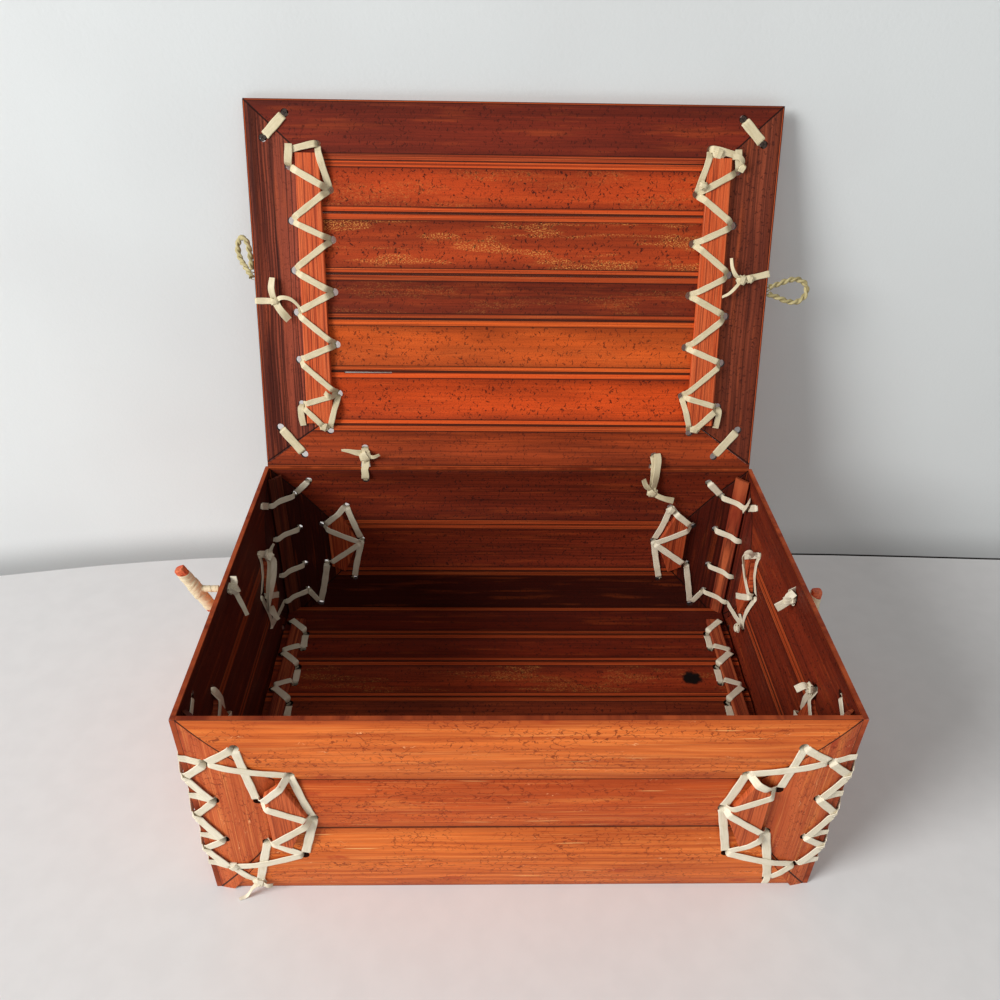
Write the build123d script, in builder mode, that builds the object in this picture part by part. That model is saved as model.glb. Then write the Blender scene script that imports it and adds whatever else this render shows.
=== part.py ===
from build123d import *
import os
from math import asin, atan2, cos, degrees, dist, hypot, pi, radians, sin, sqrt, tan

os.makedirs("parts", exist_ok=True)

# A hinged chest of split bamboo boards laced with flat cane, standing open.
# +Z is up, +Y runs from the front wall to the back wall.
# The origin is the middle of the front wall's lower outer edge.

# Chest
chest_width = 340
chest_depth = 227
wall_height = 140
stile_width = 42
stile_toe = 8
front_row_shares = (0.389, 0.679)
side_row_shares = (0.37, 0.67)
back_row_shares = (0.345, 0.66)

# Splits of bamboo culm, all cut over the same arc
split_arc = radians(27.5)
culm_wall = 3.5
edge_thick = 2.6
lip_width = 4
joint_gap = 0.15
overrun = 30

# Bottom panel
floor_lift = 14
floor_clearance = 0.2
floor_back_gap = 2
floor_row_shares = (0.19, 0.39, 0.58, 0.735, 0.862)
floor_batten_width = 9.5
floor_batten_end_gap = 16
floor_hole_pitch = 34
floor_hole_start = 33
floor_hole_back_step = 13
floor_hole_fore_step = 6

# Lid, hinged along the back rim
lid_side_inset = 1
lid_depth = 232
lid_opening = 107.5
lid_stile_width = 38
lid_toe = 2
lid_row_shares = (0.114, 0.272, 0.423, 0.548, 0.712, 0.849)
lid_clearance = 1.25
hinge_out = 1.3
hinge_up = 0.3
hinge_edge_gap = 2
slit_depth = 0.9
slit_length = 32
slit_centre = -97

# Cane lace and the holes it runs through
lace_width = 4
lace_thick = 0.6
lace_clearance = 0.35
hole_radius = 2.5
bundle_radius = 1.9
post_lace_reach = 3.2

# Battens under the lace
batten_thick = 3
batten_seat = 0.05
batten_edge_round = 0.6
wall_batten_shares = ((0.93, 0.63), (1.16, 0.69), (1.42, 0.5), (1.16, 0.31), (0.93, 0.345))
lid_batten_inset = 29.5
lid_batten_width = 18
lid_batten_taper = 3
lid_batten_span_shares = (0.12, 0.866)

# Corner posts
post_chord = 10.5
post_thick = 2.5
post_edge = 1.2
post_seat = 0.2
post_drop = 5

# Hole places in the walls: distance from the chest corner as a share of the stile width,
# height as a share of the wall height
wall_hole_shares = {
    "rail_high": (0.69, 0.873),
    "corner_1": (0.3, 0.789),
    "rail_low": (1.27, 0.716),
    "stile_high": (0.83, 0.604),
    "slat": (1.48, 0.504),
    "stile_low": (0.83, 0.351),
    "foot_high": (1.29, 0.249),
    "corner_4": (0.3, 0.161),
    "foot_low": (0.62, 0.061),
    "corner_2": (0.3, 0.58),
    "corner_3": (0.3, 0.341),
}
back_corner_inset_share = 0.42
side_rise_share = 0.03
back_rise_share = 0.05
front_skew_share = 0.028
skewed_holes = ("stile_high", "slat", "stile_low")
outer_low_runs = (
    ("corner_1", "rail_high"),
    ("corner_1", "rail_low"),
    ("rail_high", "stile_high"),
    ("stile_low", "foot_low"),
    ("foot_high", "corner_4"),
    ("corner_4", "foot_low"),
)
outer_batten_runs = (
    ("rail_low", "stile_high"),
    ("rail_low", "slat"),
    ("stile_high", "slat"),
    ("slat", "stile_low"),
    ("slat", "foot_high"),
    ("stile_low", "foot_high"),
)
corner_holes = ("corner_1", "corner_2", "corner_3", "corner_4")

# Lid lacing: distance from the hinge edge as shares of the lid depth
lid_outer_hole_inset = 26
lid_inner_hole_inset = 51.5
lid_outer_hole_shares = (0.833, 0.69, 0.556, 0.44, 0.305, 0.175)
lid_inner_hole_shares = (0.888, 0.772, 0.64, 0.498, 0.35, 0.207, 0.097)
lid_end_hole_shift = 7
lid_corner_stitches = (((25.4, 8), (11, 22.5)), ((26, 5.5), (10.3, 24.3)))

# Hinge ties
tie_half_spacing = 101
tie_lid_insets = (10, 5.5)
tie_wall_drops = (9.5, 19)
tie_barrel_radius = 1
tie_running_gap = 0.3
tie_knot_turns = ((190, 350), (305,))
knot_size = 6.5
knot_thick = 3.6
tail_length = 12

# Latch loops on the lid's side edges
cord_radius = 1.5
loop_root_spread = 2.5
loop_bow_radius = 6.5
loop_reach = 19
loop_barrel_length = 12
loop_barrel_radius = 1.6
loop_edge_gap = 0.3
left_loop_place = 127
left_loop_lean = 55
left_loop_droop = 50
right_loop_place = 119.3
left_knot_place = 109.5
left_strap_place = 109.5
left_knot_inset = 12.6
right_knot_place = 126
right_strap_place = 130
right_knot_inset = 17.8
loop_knot_turns = ((95, 300), (115, 215))

# Toggle pegs on the side walls
peg_length = 34
peg_core_radius = 2.7
peg_end_round = 0.8
winding_radius = 0.42
winding_gap = 0.05
winding_pitch = 1.35
winding_turns = 21
winding_start = 2.4
stalk_radius = 2
stalk_root_radius = 2.2
stalk_root_length = 2
stalk_length = 11.5
stub_reach = 2.8
stub_radius = 1.7
stalk_gap = 0.3
left_peg_place = 106
left_peg_height = 132
left_peg_lean = 25
left_stalk_droop = 0
right_peg_place = 107
right_peg_height = 124
right_peg_lean = 0
right_stalk_droop = 62
peg_knot_turns = ((20, 290), (200, 280))


def save(builder, name):
    """Labels a finished piece and writes it as its own file."""
    builder.part.label = name
    export_step(builder.part, f"parts/{name}.step")


def rise_of(width):
    """Height of a split's outer crown over its edges."""
    return width / 2 * tan(split_arc / 4)


def point_on(panel, across, up, inward=0):
    """Place in the chest of a point given on a panel; inward 0 is the outer edge plane."""
    return panel.from_local_coords(Vector(across, up, inward))


def split_section(plane, width):
    """Section of a split: round outside, hollow inside between two flat lips."""
    half = width / 2
    lip = half - lip_width
    crown = rise_of(width)
    hollow = edge_thick + crown - culm_wall
    with BuildSketch(plane) as section:
        with BuildLine():
            ThreePointArc((-half, 0), (0, -crown), (half, 0))
            Line((half, 0), (half, edge_thick))
            Line((half, edge_thick), (lip, edge_thick))
            ThreePointArc((lip, edge_thick), (0, edge_thick - hollow), (-lip, edge_thick))
            Line((-lip, edge_thick), (-half, edge_thick))
            Line((-half, edge_thick), (-half, 0))
        make_face()
    return section.sketch


def lay_split(panel, low, high, start, end, upright=False):
    """A split from start to end along its grain; low and high are its nominal edges."""
    width = high - low - joint_gap
    middle = (low + high) / 2
    if upright:
        base = point_on(panel, middle, start)
        section_plane = Plane(origin=base, x_dir=-panel.x_dir, z_dir=panel.y_dir)
    else:
        base = point_on(panel, start, middle)
        section_plane = Plane(origin=base, x_dir=panel.y_dir, z_dir=panel.x_dir)
    extrude(split_section(section_plane, width), amount=end - start)


def mitre(panel, start, end, kept):
    """Cuts the split along the line from start to end and keeps the side that holds kept."""
    along_x = end[0] - start[0]
    along_y = end[1] - start[1]
    length = hypot(along_x, along_y)
    normal_x = -along_y / length
    normal_y = along_x / length
    side = (kept[0] - start[0]) * normal_x + (kept[1] - start[1]) * normal_y
    if side < 0:
        normal_x = -normal_x
        normal_y = -normal_y
    seat = joint_gap / 2
    foot = point_on(panel, start[0] + seat * normal_x, start[1] + seat * normal_y)
    normal = panel.x_dir * normal_x + panel.y_dir * normal_y
    split(bisect_by=Plane(origin=foot, x_dir=panel.z_dir, z_dir=normal), keep=Keep.TOP)


def drill(panel, places):
    """Lace holes through the split at the given places of its panel."""
    with BuildSketch(panel.offset(-overrun)) as holes:
        with Locations(*places):
            Circle(hole_radius)
    extrude(holes.sketch, amount=2 * overrun, mode=Mode.SUBTRACT)


def frame_corners(half, height, low, high, stile, toe):
    """Mitre lines of a panel's right-hand corners, from the outer to the inner end."""
    grow = joint_gap / 2
    foot_line = ((half + grow - toe, -grow), (half - stile, low))
    head_line = ((half + grow, height + grow), (half - stile, high))
    return foot_line, head_line


def mirrored(line):
    """The same line on the left half of the panel."""
    return tuple((-x, y) for x, y in line)


def make_rail(name, panel, half, row, mitre_line, places):
    """A rail across the panel, mitred at both ends."""
    low, high = row
    inside = (0, (low + high) / 2)
    with BuildPart() as rail:
        lay_split(panel, low, high, -half, half)
        mitre(panel, *mitre_line, inside)
        mitre(panel, *mirrored(mitre_line), inside)
        drill(panel, places)
    save(rail, name)


def make_stile(name, panel, half, height, stile, side, lines, places):
    """An upright split at one end of the panel, mitred to both rails."""
    grow = joint_gap / 2
    inner = side * (half - stile)
    outer = side * (half + grow)
    low, high = sorted((inner, outer))
    inside = (outer, height / 2)
    with BuildPart() as stile_board:
        lay_split(panel, low, high, 0, height, upright=True)
        for line in lines:
            cut = line if side > 0 else mirrored(line)
            mitre(panel, *cut, inside)
        drill(panel, places)
    save(stile_board, name)


def make_slat(name, panel, half, row, places, slit=None):
    """A slat between the stiles."""
    low, high = row
    seat = joint_gap / 2
    with BuildPart() as slat:
        lay_split(panel, low, high, seat - half, half - seat)
        drill(panel, places)
        if slit:
            with BuildSketch(panel.offset(-overrun)):
                with Locations((slit, high)):
                    Rectangle(slit_length, 2 * slit_depth)
            extrude(amount=2 * overrun, mode=Mode.SUBTRACT)
    save(slat, name)


def make_panel(prefix, names, panel, half, height, shares, stile, toe, places, slit_row=None):
    """A mitred frame of two rails and two stiles round one or more slats."""
    grow = joint_gap / 2
    levels = [share * height for share in shares]
    foot_line, head_line = frame_corners(half, height, levels[0], levels[-1], stile, toe)
    low_rail, high_rail, slat_name = names
    make_rail(f"{prefix}_{low_rail}", panel, half, (-grow, levels[0]), foot_line, places)
    make_rail(f"{prefix}_{high_rail}", panel, half, (levels[-1], height + grow), head_line, places)
    for side in (-1, 1):
        if abs(panel.x_dir.Y) > abs(panel.x_dir.X):
            hand = "back" if side * panel.x_dir.Y > 0 else "front"
        else:
            hand = "right" if side * panel.x_dir.X > 0 else "left"
        lines = (foot_line, head_line)
        name = f"{prefix}_{hand}_stile"
        make_stile(name, panel, half, height, stile, side, lines, places)
    for number, row in enumerate(zip(levels[:-1], levels[1:]), start=1):
        name = f"{prefix}_{slat_name}"
        if len(levels) > 2:
            name = f"{name}_{number}"
        slit = slit_centre if number == slit_row else None
        make_slat(name, panel, half - stile, row, places, slit)


# Panels: x runs along the panel, y away from its lower or hinge edge, z into the chest
front = Plane(origin=(0, 0, 0), x_dir=(-1, 0, 0), z_dir=(0, 1, 0))
back = Plane(origin=(0, chest_depth, 0), x_dir=(1, 0, 0), z_dir=(0, -1, 0))
left = Plane(origin=(-chest_width / 2, chest_depth / 2, 0), x_dir=(0, 1, 0), z_dir=(1, 0, 0))
right = Plane(origin=(chest_width / 2, chest_depth / 2, 0), x_dir=(0, -1, 0), z_dir=(-1, 0, 0))
floor_level = floor_lift - edge_thick
floor_front = edge_thick + floor_clearance
floor_panel = Plane(origin=(0, floor_front, floor_level), x_dir=(1, 0, 0), z_dir=(0, 0, 1))

# The lid's plane turns about the hinge axis, just outside the back rim
hinge_y = chest_depth + hinge_out
hinge_z = wall_height + hinge_up
lid_turn = radians(lid_opening)
lid_rise = lid_clearance - hinge_up + edge_thick
lid_along = Vector(0, -cos(lid_turn), sin(lid_turn))
lid_out = Vector(0, sin(lid_turn), cos(lid_turn))
lid_origin = Vector(0, hinge_y, hinge_z) + lid_along * hinge_edge_gap + lid_out * lid_rise
lid_panel = Plane(origin=lid_origin, x_dir=(1, 0, 0), z_dir=-lid_out)

end_half = chest_width / 2 - edge_thick
side_half = chest_depth / 2
lid_half = chest_width / 2 - lid_side_inset


def corner_sign(panel, corner):
    """Which end of the panel a chest corner is at, and how far out that corner lies."""
    across = panel.to_local_coords(corner).X
    return (1, across) if across > 0 else (-1, -across)


def wall_holes(panel, corner, rise_share, skew_share=0, corner_share=None):
    """Named lace holes of one end of a wall."""
    side, reach = corner_sign(panel, corner)
    holes = {}
    for name, (inset_share, height_share) in wall_hole_shares.items():
        if corner_share and name in corner_holes:
            inset_share = corner_share
        if name in skewed_holes:
            height_share = height_share + skew_share
        across = side * (reach - inset_share * stile_width)
        holes[name] = (across, (height_share + rise_share) * wall_height)
    return holes


corners = {
    "front_left": Vector(-chest_width / 2, 0, 0),
    "front_right": Vector(chest_width / 2, 0, 0),
    "back_left": Vector(-chest_width / 2, chest_depth, 0),
    "back_right": Vector(chest_width / 2, chest_depth, 0),
}
end_walls = {"front_left": front, "front_right": front, "back_left": back, "back_right": back}
side_walls = {"front_left": left, "front_right": right, "back_left": left, "back_right": right}
end_holes = {
    "front_left": wall_holes(front, corners["front_left"], 0, -front_skew_share),
    "front_right": wall_holes(front, corners["front_right"], 0, front_skew_share),
    "back_left": wall_holes(
        back, corners["back_left"], back_rise_share, corner_share=back_corner_inset_share
    ),
    "back_right": wall_holes(
        back, corners["back_right"], back_rise_share, corner_share=back_corner_inset_share
    ),
}
side_holes = {
    name: wall_holes(side_walls[name], corner, side_rise_share) for name, corner in corners.items()
}

# Places of the ties, on their panels
tie_sides = (-1, 1)
tie_wall_places = [
    (side * tie_half_spacing, wall_height - drop) for side, drop in zip(tie_sides, tie_wall_drops)
]
tie_lid_places = [
    (side * tie_half_spacing, inset) for side, inset in zip(tie_sides, tie_lid_insets)
]
left_peg_across = left.to_local_coords(Vector(-chest_width / 2, left_peg_place, 0)).X
right_peg_across = right.to_local_coords(Vector(chest_width / 2, right_peg_place, 0)).X
loop_knot_places = [
    (left_knot_inset - lid_half, left_knot_place),
    (lid_half - right_knot_inset, right_knot_place),
]


def lid_zigzag(side):
    """Lace holes beside one lid batten: the stile row and the slat row."""
    outer = [
        (side * (lid_half - lid_outer_hole_inset), share * lid_depth)
        for share in lid_outer_hole_shares
    ]
    inner = [
        (side * (lid_half - lid_inner_hole_inset), share * lid_depth)
        for share in lid_inner_hole_shares
    ]
    first_x, first_y = inner[0]
    inner[0] = (first_x + side * lid_end_hole_shift, first_y)
    last_x, last_y = inner[-1]
    inner[-1] = (last_x + side * lid_end_hole_shift, last_y)
    return outer, inner


def lid_corner_places(side):
    """Hole pairs of the short stitches across the lid's front and back mitres."""
    front_pair, back_pair = lid_corner_stitches
    front_places = [(side * (lid_half - x), lid_depth - y) for x, y in front_pair]
    back_places = [(side * (lid_half - x), y) for x, y in back_pair]
    return front_places, back_places


lid_places = list(tie_lid_places) + loop_knot_places
for hand in (-1, 1):
    outer_row, inner_row = lid_zigzag(hand)
    lid_places += outer_row + inner_row
    for stitch in lid_corner_places(hand):
        lid_places += stitch

floor_half = end_half - floor_clearance
floor_depth = chest_depth - 2 * edge_thick - floor_clearance - floor_back_gap
floor_batten_outer = floor_half - 2 * hole_radius - floor_clearance
floor_batten_inner = floor_batten_outer - floor_batten_width


def floor_zigzag(side):
    """Lace holes beside one floor batten, and the runs between them."""
    outer_x = side * (floor_batten_outer + hole_radius)
    inner_x = side * (floor_batten_inner - hole_radius)
    outer = []
    inner = []
    runs = []
    place = floor_hole_start
    while place < floor_depth - floor_batten_end_gap:
        outer.append((outer_x, place))
        place = place + floor_hole_pitch
    for (_, near), (_, far) in zip(outer[:-1], outer[1:]):
        low = (inner_x, near + floor_hole_fore_step)
        high = (inner_x, far - floor_hole_back_step)
        inner += [low, high]
        runs += [((outer_x, near), low), (low, high), (high, (outer_x, far))]
    return outer + inner, runs


floor_places = []
for hand in (-1, 1):
    floor_places += floor_zigzag(hand)[0]

wall_places = {
    "front": list(end_holes["front_left"].values()) + list(end_holes["front_right"].values()),
    "back": list(end_holes["back_left"].values()) + list(end_holes["back_right"].values()),
    "left": list(side_holes["front_left"].values()) + list(side_holes["back_left"].values()),
    "right": list(side_holes["front_right"].values()) + list(side_holes["back_right"].values()),
}
wall_places["back"] += tie_wall_places
wall_places["left"].append((left_peg_across, left_peg_height))
wall_places["right"].append((right_peg_across, right_peg_height))

# Walls: each is a mitred frame round one slat; the end walls stand between the side walls
wall_names = ("bottom_rail", "top_rail", "slat")
for prefix, panel, half, shares in (
    ("front", front, end_half, front_row_shares),
    ("back", back, end_half, back_row_shares),
    ("left", left, side_half, side_row_shares),
    ("right", right, side_half, side_row_shares),
):
    make_panel(
        prefix, wall_names, panel, half, wall_height, shares, stile_width, stile_toe,
        wall_places[prefix],
    )

# Lid: a mitred frame round five slats
make_panel(
    "lid", ("back_rail", "front_rail", "slat"), lid_panel, lid_half, lid_depth, lid_row_shares,
    lid_stile_width, lid_toe, lid_places, slit_row=1,
)

# Bottom: boards side by side across the whole floor
floor_levels = [0, *(share * floor_depth for share in floor_row_shares), floor_depth]
for number, (low, high) in enumerate(zip(floor_levels[:-1], floor_levels[1:]), start=1):
    with BuildPart() as floor_board:
        lay_split(floor_panel, low, high, -floor_half, floor_half)
        drill(floor_panel, floor_places)
    save(floor_board, f"bottom_board_{number}")

# Corner posts: convex strips standing on the floor across each inner corner
with BuildPart() as corner_posts:
    half_chord = post_chord / 2
    for side_x in (-1, 1):
        for side_y in (-1, 1):
            inner_y = edge_thick if side_y < 0 else chest_depth - edge_thick
            diagonal = Vector(-side_x, -side_y, 0).normalized()
            seat = half_chord + post_seat
            foot = Vector(side_x * end_half, inner_y, floor_lift) + diagonal * seat
            across = diagonal.cross(Vector(0, 0, 1))
            with BuildSketch(Plane(origin=foot, x_dir=across, z_dir=(0, 0, 1))):
                with BuildLine():
                    Line((-half_chord, 0), (half_chord, 0))
                    Line((half_chord, 0), (half_chord, post_edge))
                    ThreePointArc((half_chord, post_edge), (0, post_thick), (-half_chord, post_edge))
                    Line((-half_chord, post_edge), (-half_chord, 0))
                make_face()
            extrude(amount=wall_height - post_drop - floor_lift)
save(corner_posts, "corner_posts")


def batten_level(row_height):
    """Height over a wall's edge plane of the seat on its slat's crown."""
    return rise_of(row_height) + batten_seat


def wall_battens(name, panel, corner_names, shares, rise_share):
    """Half-hexagon battens outside and inside both ends of a wall."""
    slat_height = (shares[1] - shares[0]) * wall_height
    seat = batten_level(slat_height)
    with BuildPart() as battens:
        for corner_name in corner_names:
            side, reach = corner_sign(panel, corners[corner_name])
            outline = []
            for inset_share, height_share in wall_batten_shares:
                across = side * (reach - inset_share * stile_width)
                outline.append((across, (height_share + rise_share) * wall_height))
            with BuildSketch(panel.offset(-seat)):
                Polygon(*outline, align=None)
            extrude(amount=-batten_thick)
            with BuildSketch(panel.offset(edge_thick)):
                Polygon(*outline, align=None)
            extrude(amount=batten_thick)
        outer_faces = battens.faces().sort_by(Axis(panel.origin, panel.z_dir))
        rims = outer_faces[:2].edges() + outer_faces[-2:].edges()
        fillet(rims, radius=batten_edge_round)
    save(battens, name)


wall_battens("front_battens", front, ("front_left", "front_right"), front_row_shares, 0)
wall_battens("back_battens", back, ("back_left", "back_right"), back_row_shares, back_rise_share)
wall_battens("left_battens", left, ("front_left", "back_left"), side_row_shares, side_rise_share)
wall_battens(
    "right_battens", right, ("front_right", "back_right"), side_row_shares, side_rise_share
)

# Lid battens: long tapering strips inside the lid
with BuildPart() as lid_battens:
    low_end, high_end = (share * lid_depth for share in lid_batten_span_shares)
    for hand in (-1, 1):
        outer_x = lid_half - lid_batten_inset
        inner_x = outer_x - lid_batten_width
        outline = (
            (hand * outer_x, low_end),
            (hand * (outer_x - lid_batten_taper / 2), high_end),
            (hand * (inner_x + lid_batten_taper / 2), high_end),
            (hand * inner_x, low_end),
        )
        with BuildSketch(lid_panel.offset(edge_thick)):
            Polygon(*outline, align=None)
        extrude(amount=batten_thick)
    lid_inner_faces = lid_battens.faces().sort_by(Axis(lid_origin, lid_panel.z_dir))[-2:]
    fillet(lid_inner_faces.edges(), radius=batten_edge_round)
save(lid_battens, "lid_battens")

# Floor battens: strips along both side walls
with BuildPart() as bottom_battens:
    for hand in (-1, 1):
        middle_x = hand * (floor_batten_outer + floor_batten_inner) / 2
        with BuildSketch(floor_panel.offset(edge_thick)):
            with Locations((middle_x, floor_depth / 2)):
                Rectangle(floor_batten_width, floor_depth - 2 * floor_batten_end_gap)
        extrude(amount=batten_thick)
    floor_top_faces = bottom_battens.faces().sort_by(Axis.Z)[-2:]
    fillet(floor_top_faces.edges(), radius=batten_edge_round)
save(bottom_battens, "bottom_battens")

tallest_row = wall_height * max(front_row_shares[0], side_row_shares[0], back_row_shares[0])
lace_lift = lace_clearance + lace_thick / 2
low_level = rise_of(tallest_row) + lace_lift
widest_slat = wall_height * (side_row_shares[1] - side_row_shares[0])
high_level = batten_level(widest_slat) + batten_thick + lace_lift
inner_level = edge_thick + lace_lift
inner_batten_level = inner_level + batten_thick


def lay_runs(panel, level, runs):
    """Straight cane runs between pairs of places, all in one plane of the panel."""
    with BuildSketch(panel.offset(level)) as cane:
        for (start_x, start_y), (end_x, end_y) in runs:
            length = dist((start_x, start_y), (end_x, end_y))
            turn = degrees(atan2(end_y - start_y, end_x - start_x))
            with Locations(((start_x + end_x) / 2, (start_y + end_y) / 2)):
                Rectangle(length + lace_width / 2, lace_width, rotation=turn)
    extrude(cane.sketch, amount=lace_thick / 2, both=True)


def thread_holes(panel, places, low, high):
    """The cane that passes through the holes, from one level of the panel to another."""
    with BuildSketch(panel.offset(low)) as bundles:
        with Locations(*places):
            Circle(bundle_radius)
    extrude(bundles.sketch, amount=high - low)


def run_places(holes, runs):
    """Turns pairs of hole names into pairs of places."""
    return [(holes[start], holes[end]) for start, end in runs]


def lace_wall_end(panel, holes):
    """Lacing of one end of a wall, outside and inside."""
    lay_runs(panel, -low_level, run_places(holes, outer_low_runs))
    lay_runs(panel, -high_level, run_places(holes, outer_batten_runs))
    lay_runs(panel, inner_batten_level, run_places(holes, outer_batten_runs))
    low_names = ("rail_high", "foot_low")
    shared_names = ("rail_low", "stile_high", "slat", "stile_low", "foot_high")
    low_places = [holes[name] for name in low_names]
    thread_holes(panel, low_places, -low_level, edge_thick)
    shared_places = [holes[name] for name in shared_names]
    thread_holes(panel, shared_places, -high_level, inner_batten_level)
    reach = edge_thick + post_lace_reach
    thread_holes(panel, [holes[name] for name in corner_holes], -low_level, reach)


def wrap_corner(panel, corner, holes, other_holes):
    """Outer runs from the corner holes to the chest's corner edge, halfway to the next wall."""
    side, reach = corner_sign(panel, corner)
    runs = []
    for name, other_name in zip(corner_holes[:-1], corner_holes[1:]):
        for near, far in ((name, other_name), (other_name, name)):
            near_x, near_y = holes[near]
            far_height = other_holes[far][1]
            runs.append(((near_x, near_y), (side * (reach + low_level), (near_y + far_height) / 2)))
    lay_runs(panel, -low_level, runs)


def strap(start, end, face):
    """One straight run of cane in space, flat towards face."""
    along = (end - start).normalized()
    flat = (face - along * face.dot(along)).normalized()
    with BuildSketch(Plane(origin=(start + end) / 2, x_dir=along, z_dir=flat)) as cane:
        Rectangle((end - start).length + lace_thick, lace_width)
    extrude(cane.sketch, amount=lace_thick / 2, both=True)


for name, corner in corners.items():
    with BuildPart() as corner_lace:
        end_wall = end_walls[name]
        side_wall = side_walls[name]
        lace_wall_end(end_wall, end_holes[name])
        lace_wall_end(side_wall, side_holes[name])
        wrap_corner(end_wall, corner, end_holes[name], side_holes[name])
        wrap_corner(side_wall, corner, side_holes[name], end_holes[name])
        inward = end_wall.z_dir + side_wall.z_dir
        depth = edge_thick + post_lace_reach - lace_thick / 2
        for hole in corner_holes:
            begin = point_on(end_wall, *end_holes[name][hole], depth)
            finish = point_on(side_wall, *side_holes[name][hole], depth)
            strap(begin, finish, inward)
    save(corner_lace, f"{name}_lace")

# Lid lace: a zigzag over each batten, short stitches across the mitres
lid_low_level = rise_of(max(lid_stile_width, lid_depth * (1 - lid_row_shares[-1]))) + lace_lift
with BuildPart() as lid_lace:
    for hand in (-1, 1):
        outer_row, inner_row = lid_zigzag(hand)
        zigzag = []
        for number, place in enumerate(outer_row):
            zigzag += [(inner_row[number], place), (place, inner_row[number + 1])]
        lay_runs(lid_panel, inner_batten_level, zigzag)
        lay_runs(lid_panel, -lid_low_level, zigzag)
        thread_holes(lid_panel, outer_row + inner_row, -lid_low_level, inner_batten_level)
        for stitch in lid_corner_places(hand):
            lay_runs(lid_panel, inner_level, [stitch])
            lay_runs(lid_panel, -lid_low_level, [stitch])
            thread_holes(lid_panel, stitch, -lid_low_level, inner_level)
save(lid_lace, "lid_lace")

# Floor lace: over both battens and under the boards
floor_row_shares_all = (0, *floor_row_shares, 1)
widest_floor_row = floor_depth * max(
    high - low for low, high in zip(floor_row_shares_all[:-1], floor_row_shares_all[1:])
)
floor_low_level = rise_of(widest_floor_row) + lace_lift
with BuildPart() as bottom_lace:
    for hand in (-1, 1):
        places, runs = floor_zigzag(hand)
        lay_runs(floor_panel, inner_batten_level, runs)
        lay_runs(floor_panel, -floor_low_level, runs)
        thread_holes(floor_panel, places, -floor_low_level, inner_batten_level)
save(bottom_lace, "bottom_lace")


def tie_knot(panel, place, turns):
    """A knot on the panel's inner face over a hole, with flat tails at the given turns."""
    with BuildSketch(panel.offset(edge_thick + lace_clearance)) as knot:
        with Locations(place):
            RectangleRounded(knot_size, knot_size, knot_size / 4, rotation=turns[0] + 45)
    extrude(knot.sketch, amount=knot_thick)
    tails = []
    for turn in turns:
        reach_x = tail_length * cos(radians(turn))
        reach_y = tail_length * sin(radians(turn))
        tails.append((place, (place[0] + reach_x, place[1] + reach_y)))
    lay_runs(panel, inner_level + lace_thick, tails)


def rise_at(width, offset):
    """Height of a split's outer face over its edges, offset from its middle."""
    radius = width / 2 / sin(split_arc / 2)
    return sqrt(radius**2 - offset**2) - radius * cos(split_arc / 2)


# Hinge ties, the wall's half: cane through the wall and up to a rolled turn on the hinge axis;
# the right tie is knotted inside the wall, the left one inside the lid
top_row_width = wall_height * (1 - back_row_shares[1])
left_tie, right_tie = tie_sides
with BuildPart() as hinge_tie_knots:
    for side, place in zip(tie_sides, tie_wall_places):
        offset = wall_height - top_row_width / 2 - place[1]
        level = rise_at(top_row_width, offset) + lace_lift
        if side == right_tie:
            tie_knot(back, place, tie_knot_turns[1])
        thread_holes(back, [place], -level, inner_level + lace_thick)
        barrel_centre = Vector(place[0], hinge_y, hinge_z)
        strap(point_on(back, *place, -level), barrel_centre, Vector(0, 1, 0))
        with BuildSketch(Plane(origin=barrel_centre, x_dir=(0, 1, 0), z_dir=(1, 0, 0))):
            Circle(tie_barrel_radius)
        extrude(amount=lace_width / 2, both=True)
save(hinge_tie_knots, "hinge_tie_knots")

# Hinge ties, the lid's half: cane through the lid, over its edge and round the rolled turn
lid_outer_level = rise_of(lid_depth * lid_row_shares[0]) + lace_lift
hook_inner = tie_barrel_radius + tie_running_gap
hook_outer = hook_inner + lace_thick
with BuildPart() as hinge_tie_straps:
    for side, place in zip(tie_sides, tie_lid_places):
        if side == left_tie:
            tie_knot(lid_panel, place, tie_knot_turns[0])
        thread_holes(lid_panel, [place], -lid_outer_level, inner_level + lace_thick)
        edge_place = (place[0], -hinge_edge_gap)
        lay_runs(lid_panel, -lid_outer_level, [(place, edge_place)])
        hook_plane = Plane(
            origin=(place[0], hinge_y, hinge_z), x_dir=lid_along, z_dir=(1, 0, 0)
        )
        with BuildSketch(hook_plane):
            Circle(hook_outer)
            Circle(hook_inner, mode=Mode.SUBTRACT)
            with Locations((hook_outer, -hook_outer)):
                Rectangle(2 * hook_outer, 2 * hook_outer, mode=Mode.INTERSECT)
        extrude(amount=lace_width / 2, both=True)
        hook_end = Vector(place[0], hinge_y, hinge_z) + lid_out * (hook_inner + lace_thick / 2)
        run_end = point_on(lid_panel, place[0], -hinge_edge_gap, -lid_outer_level)
        strap(hook_end, run_end, lid_along)
save(hinge_tie_straps, "hinge_tie_straps")


def tangent_from(start, side):
    """Where the line from start touches the loop's bow, on the bow's side given by side."""
    away_x = loop_reach - start[0]
    away_y = -start[1]
    away = hypot(away_x, away_y)
    turn = atan2(away_y, away_x) + side * asin(loop_bow_radius / away)
    run = sqrt(away**2 - loop_bow_radius**2)
    return (start[0] + run * cos(turn), start[1] + run * sin(turn))


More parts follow.
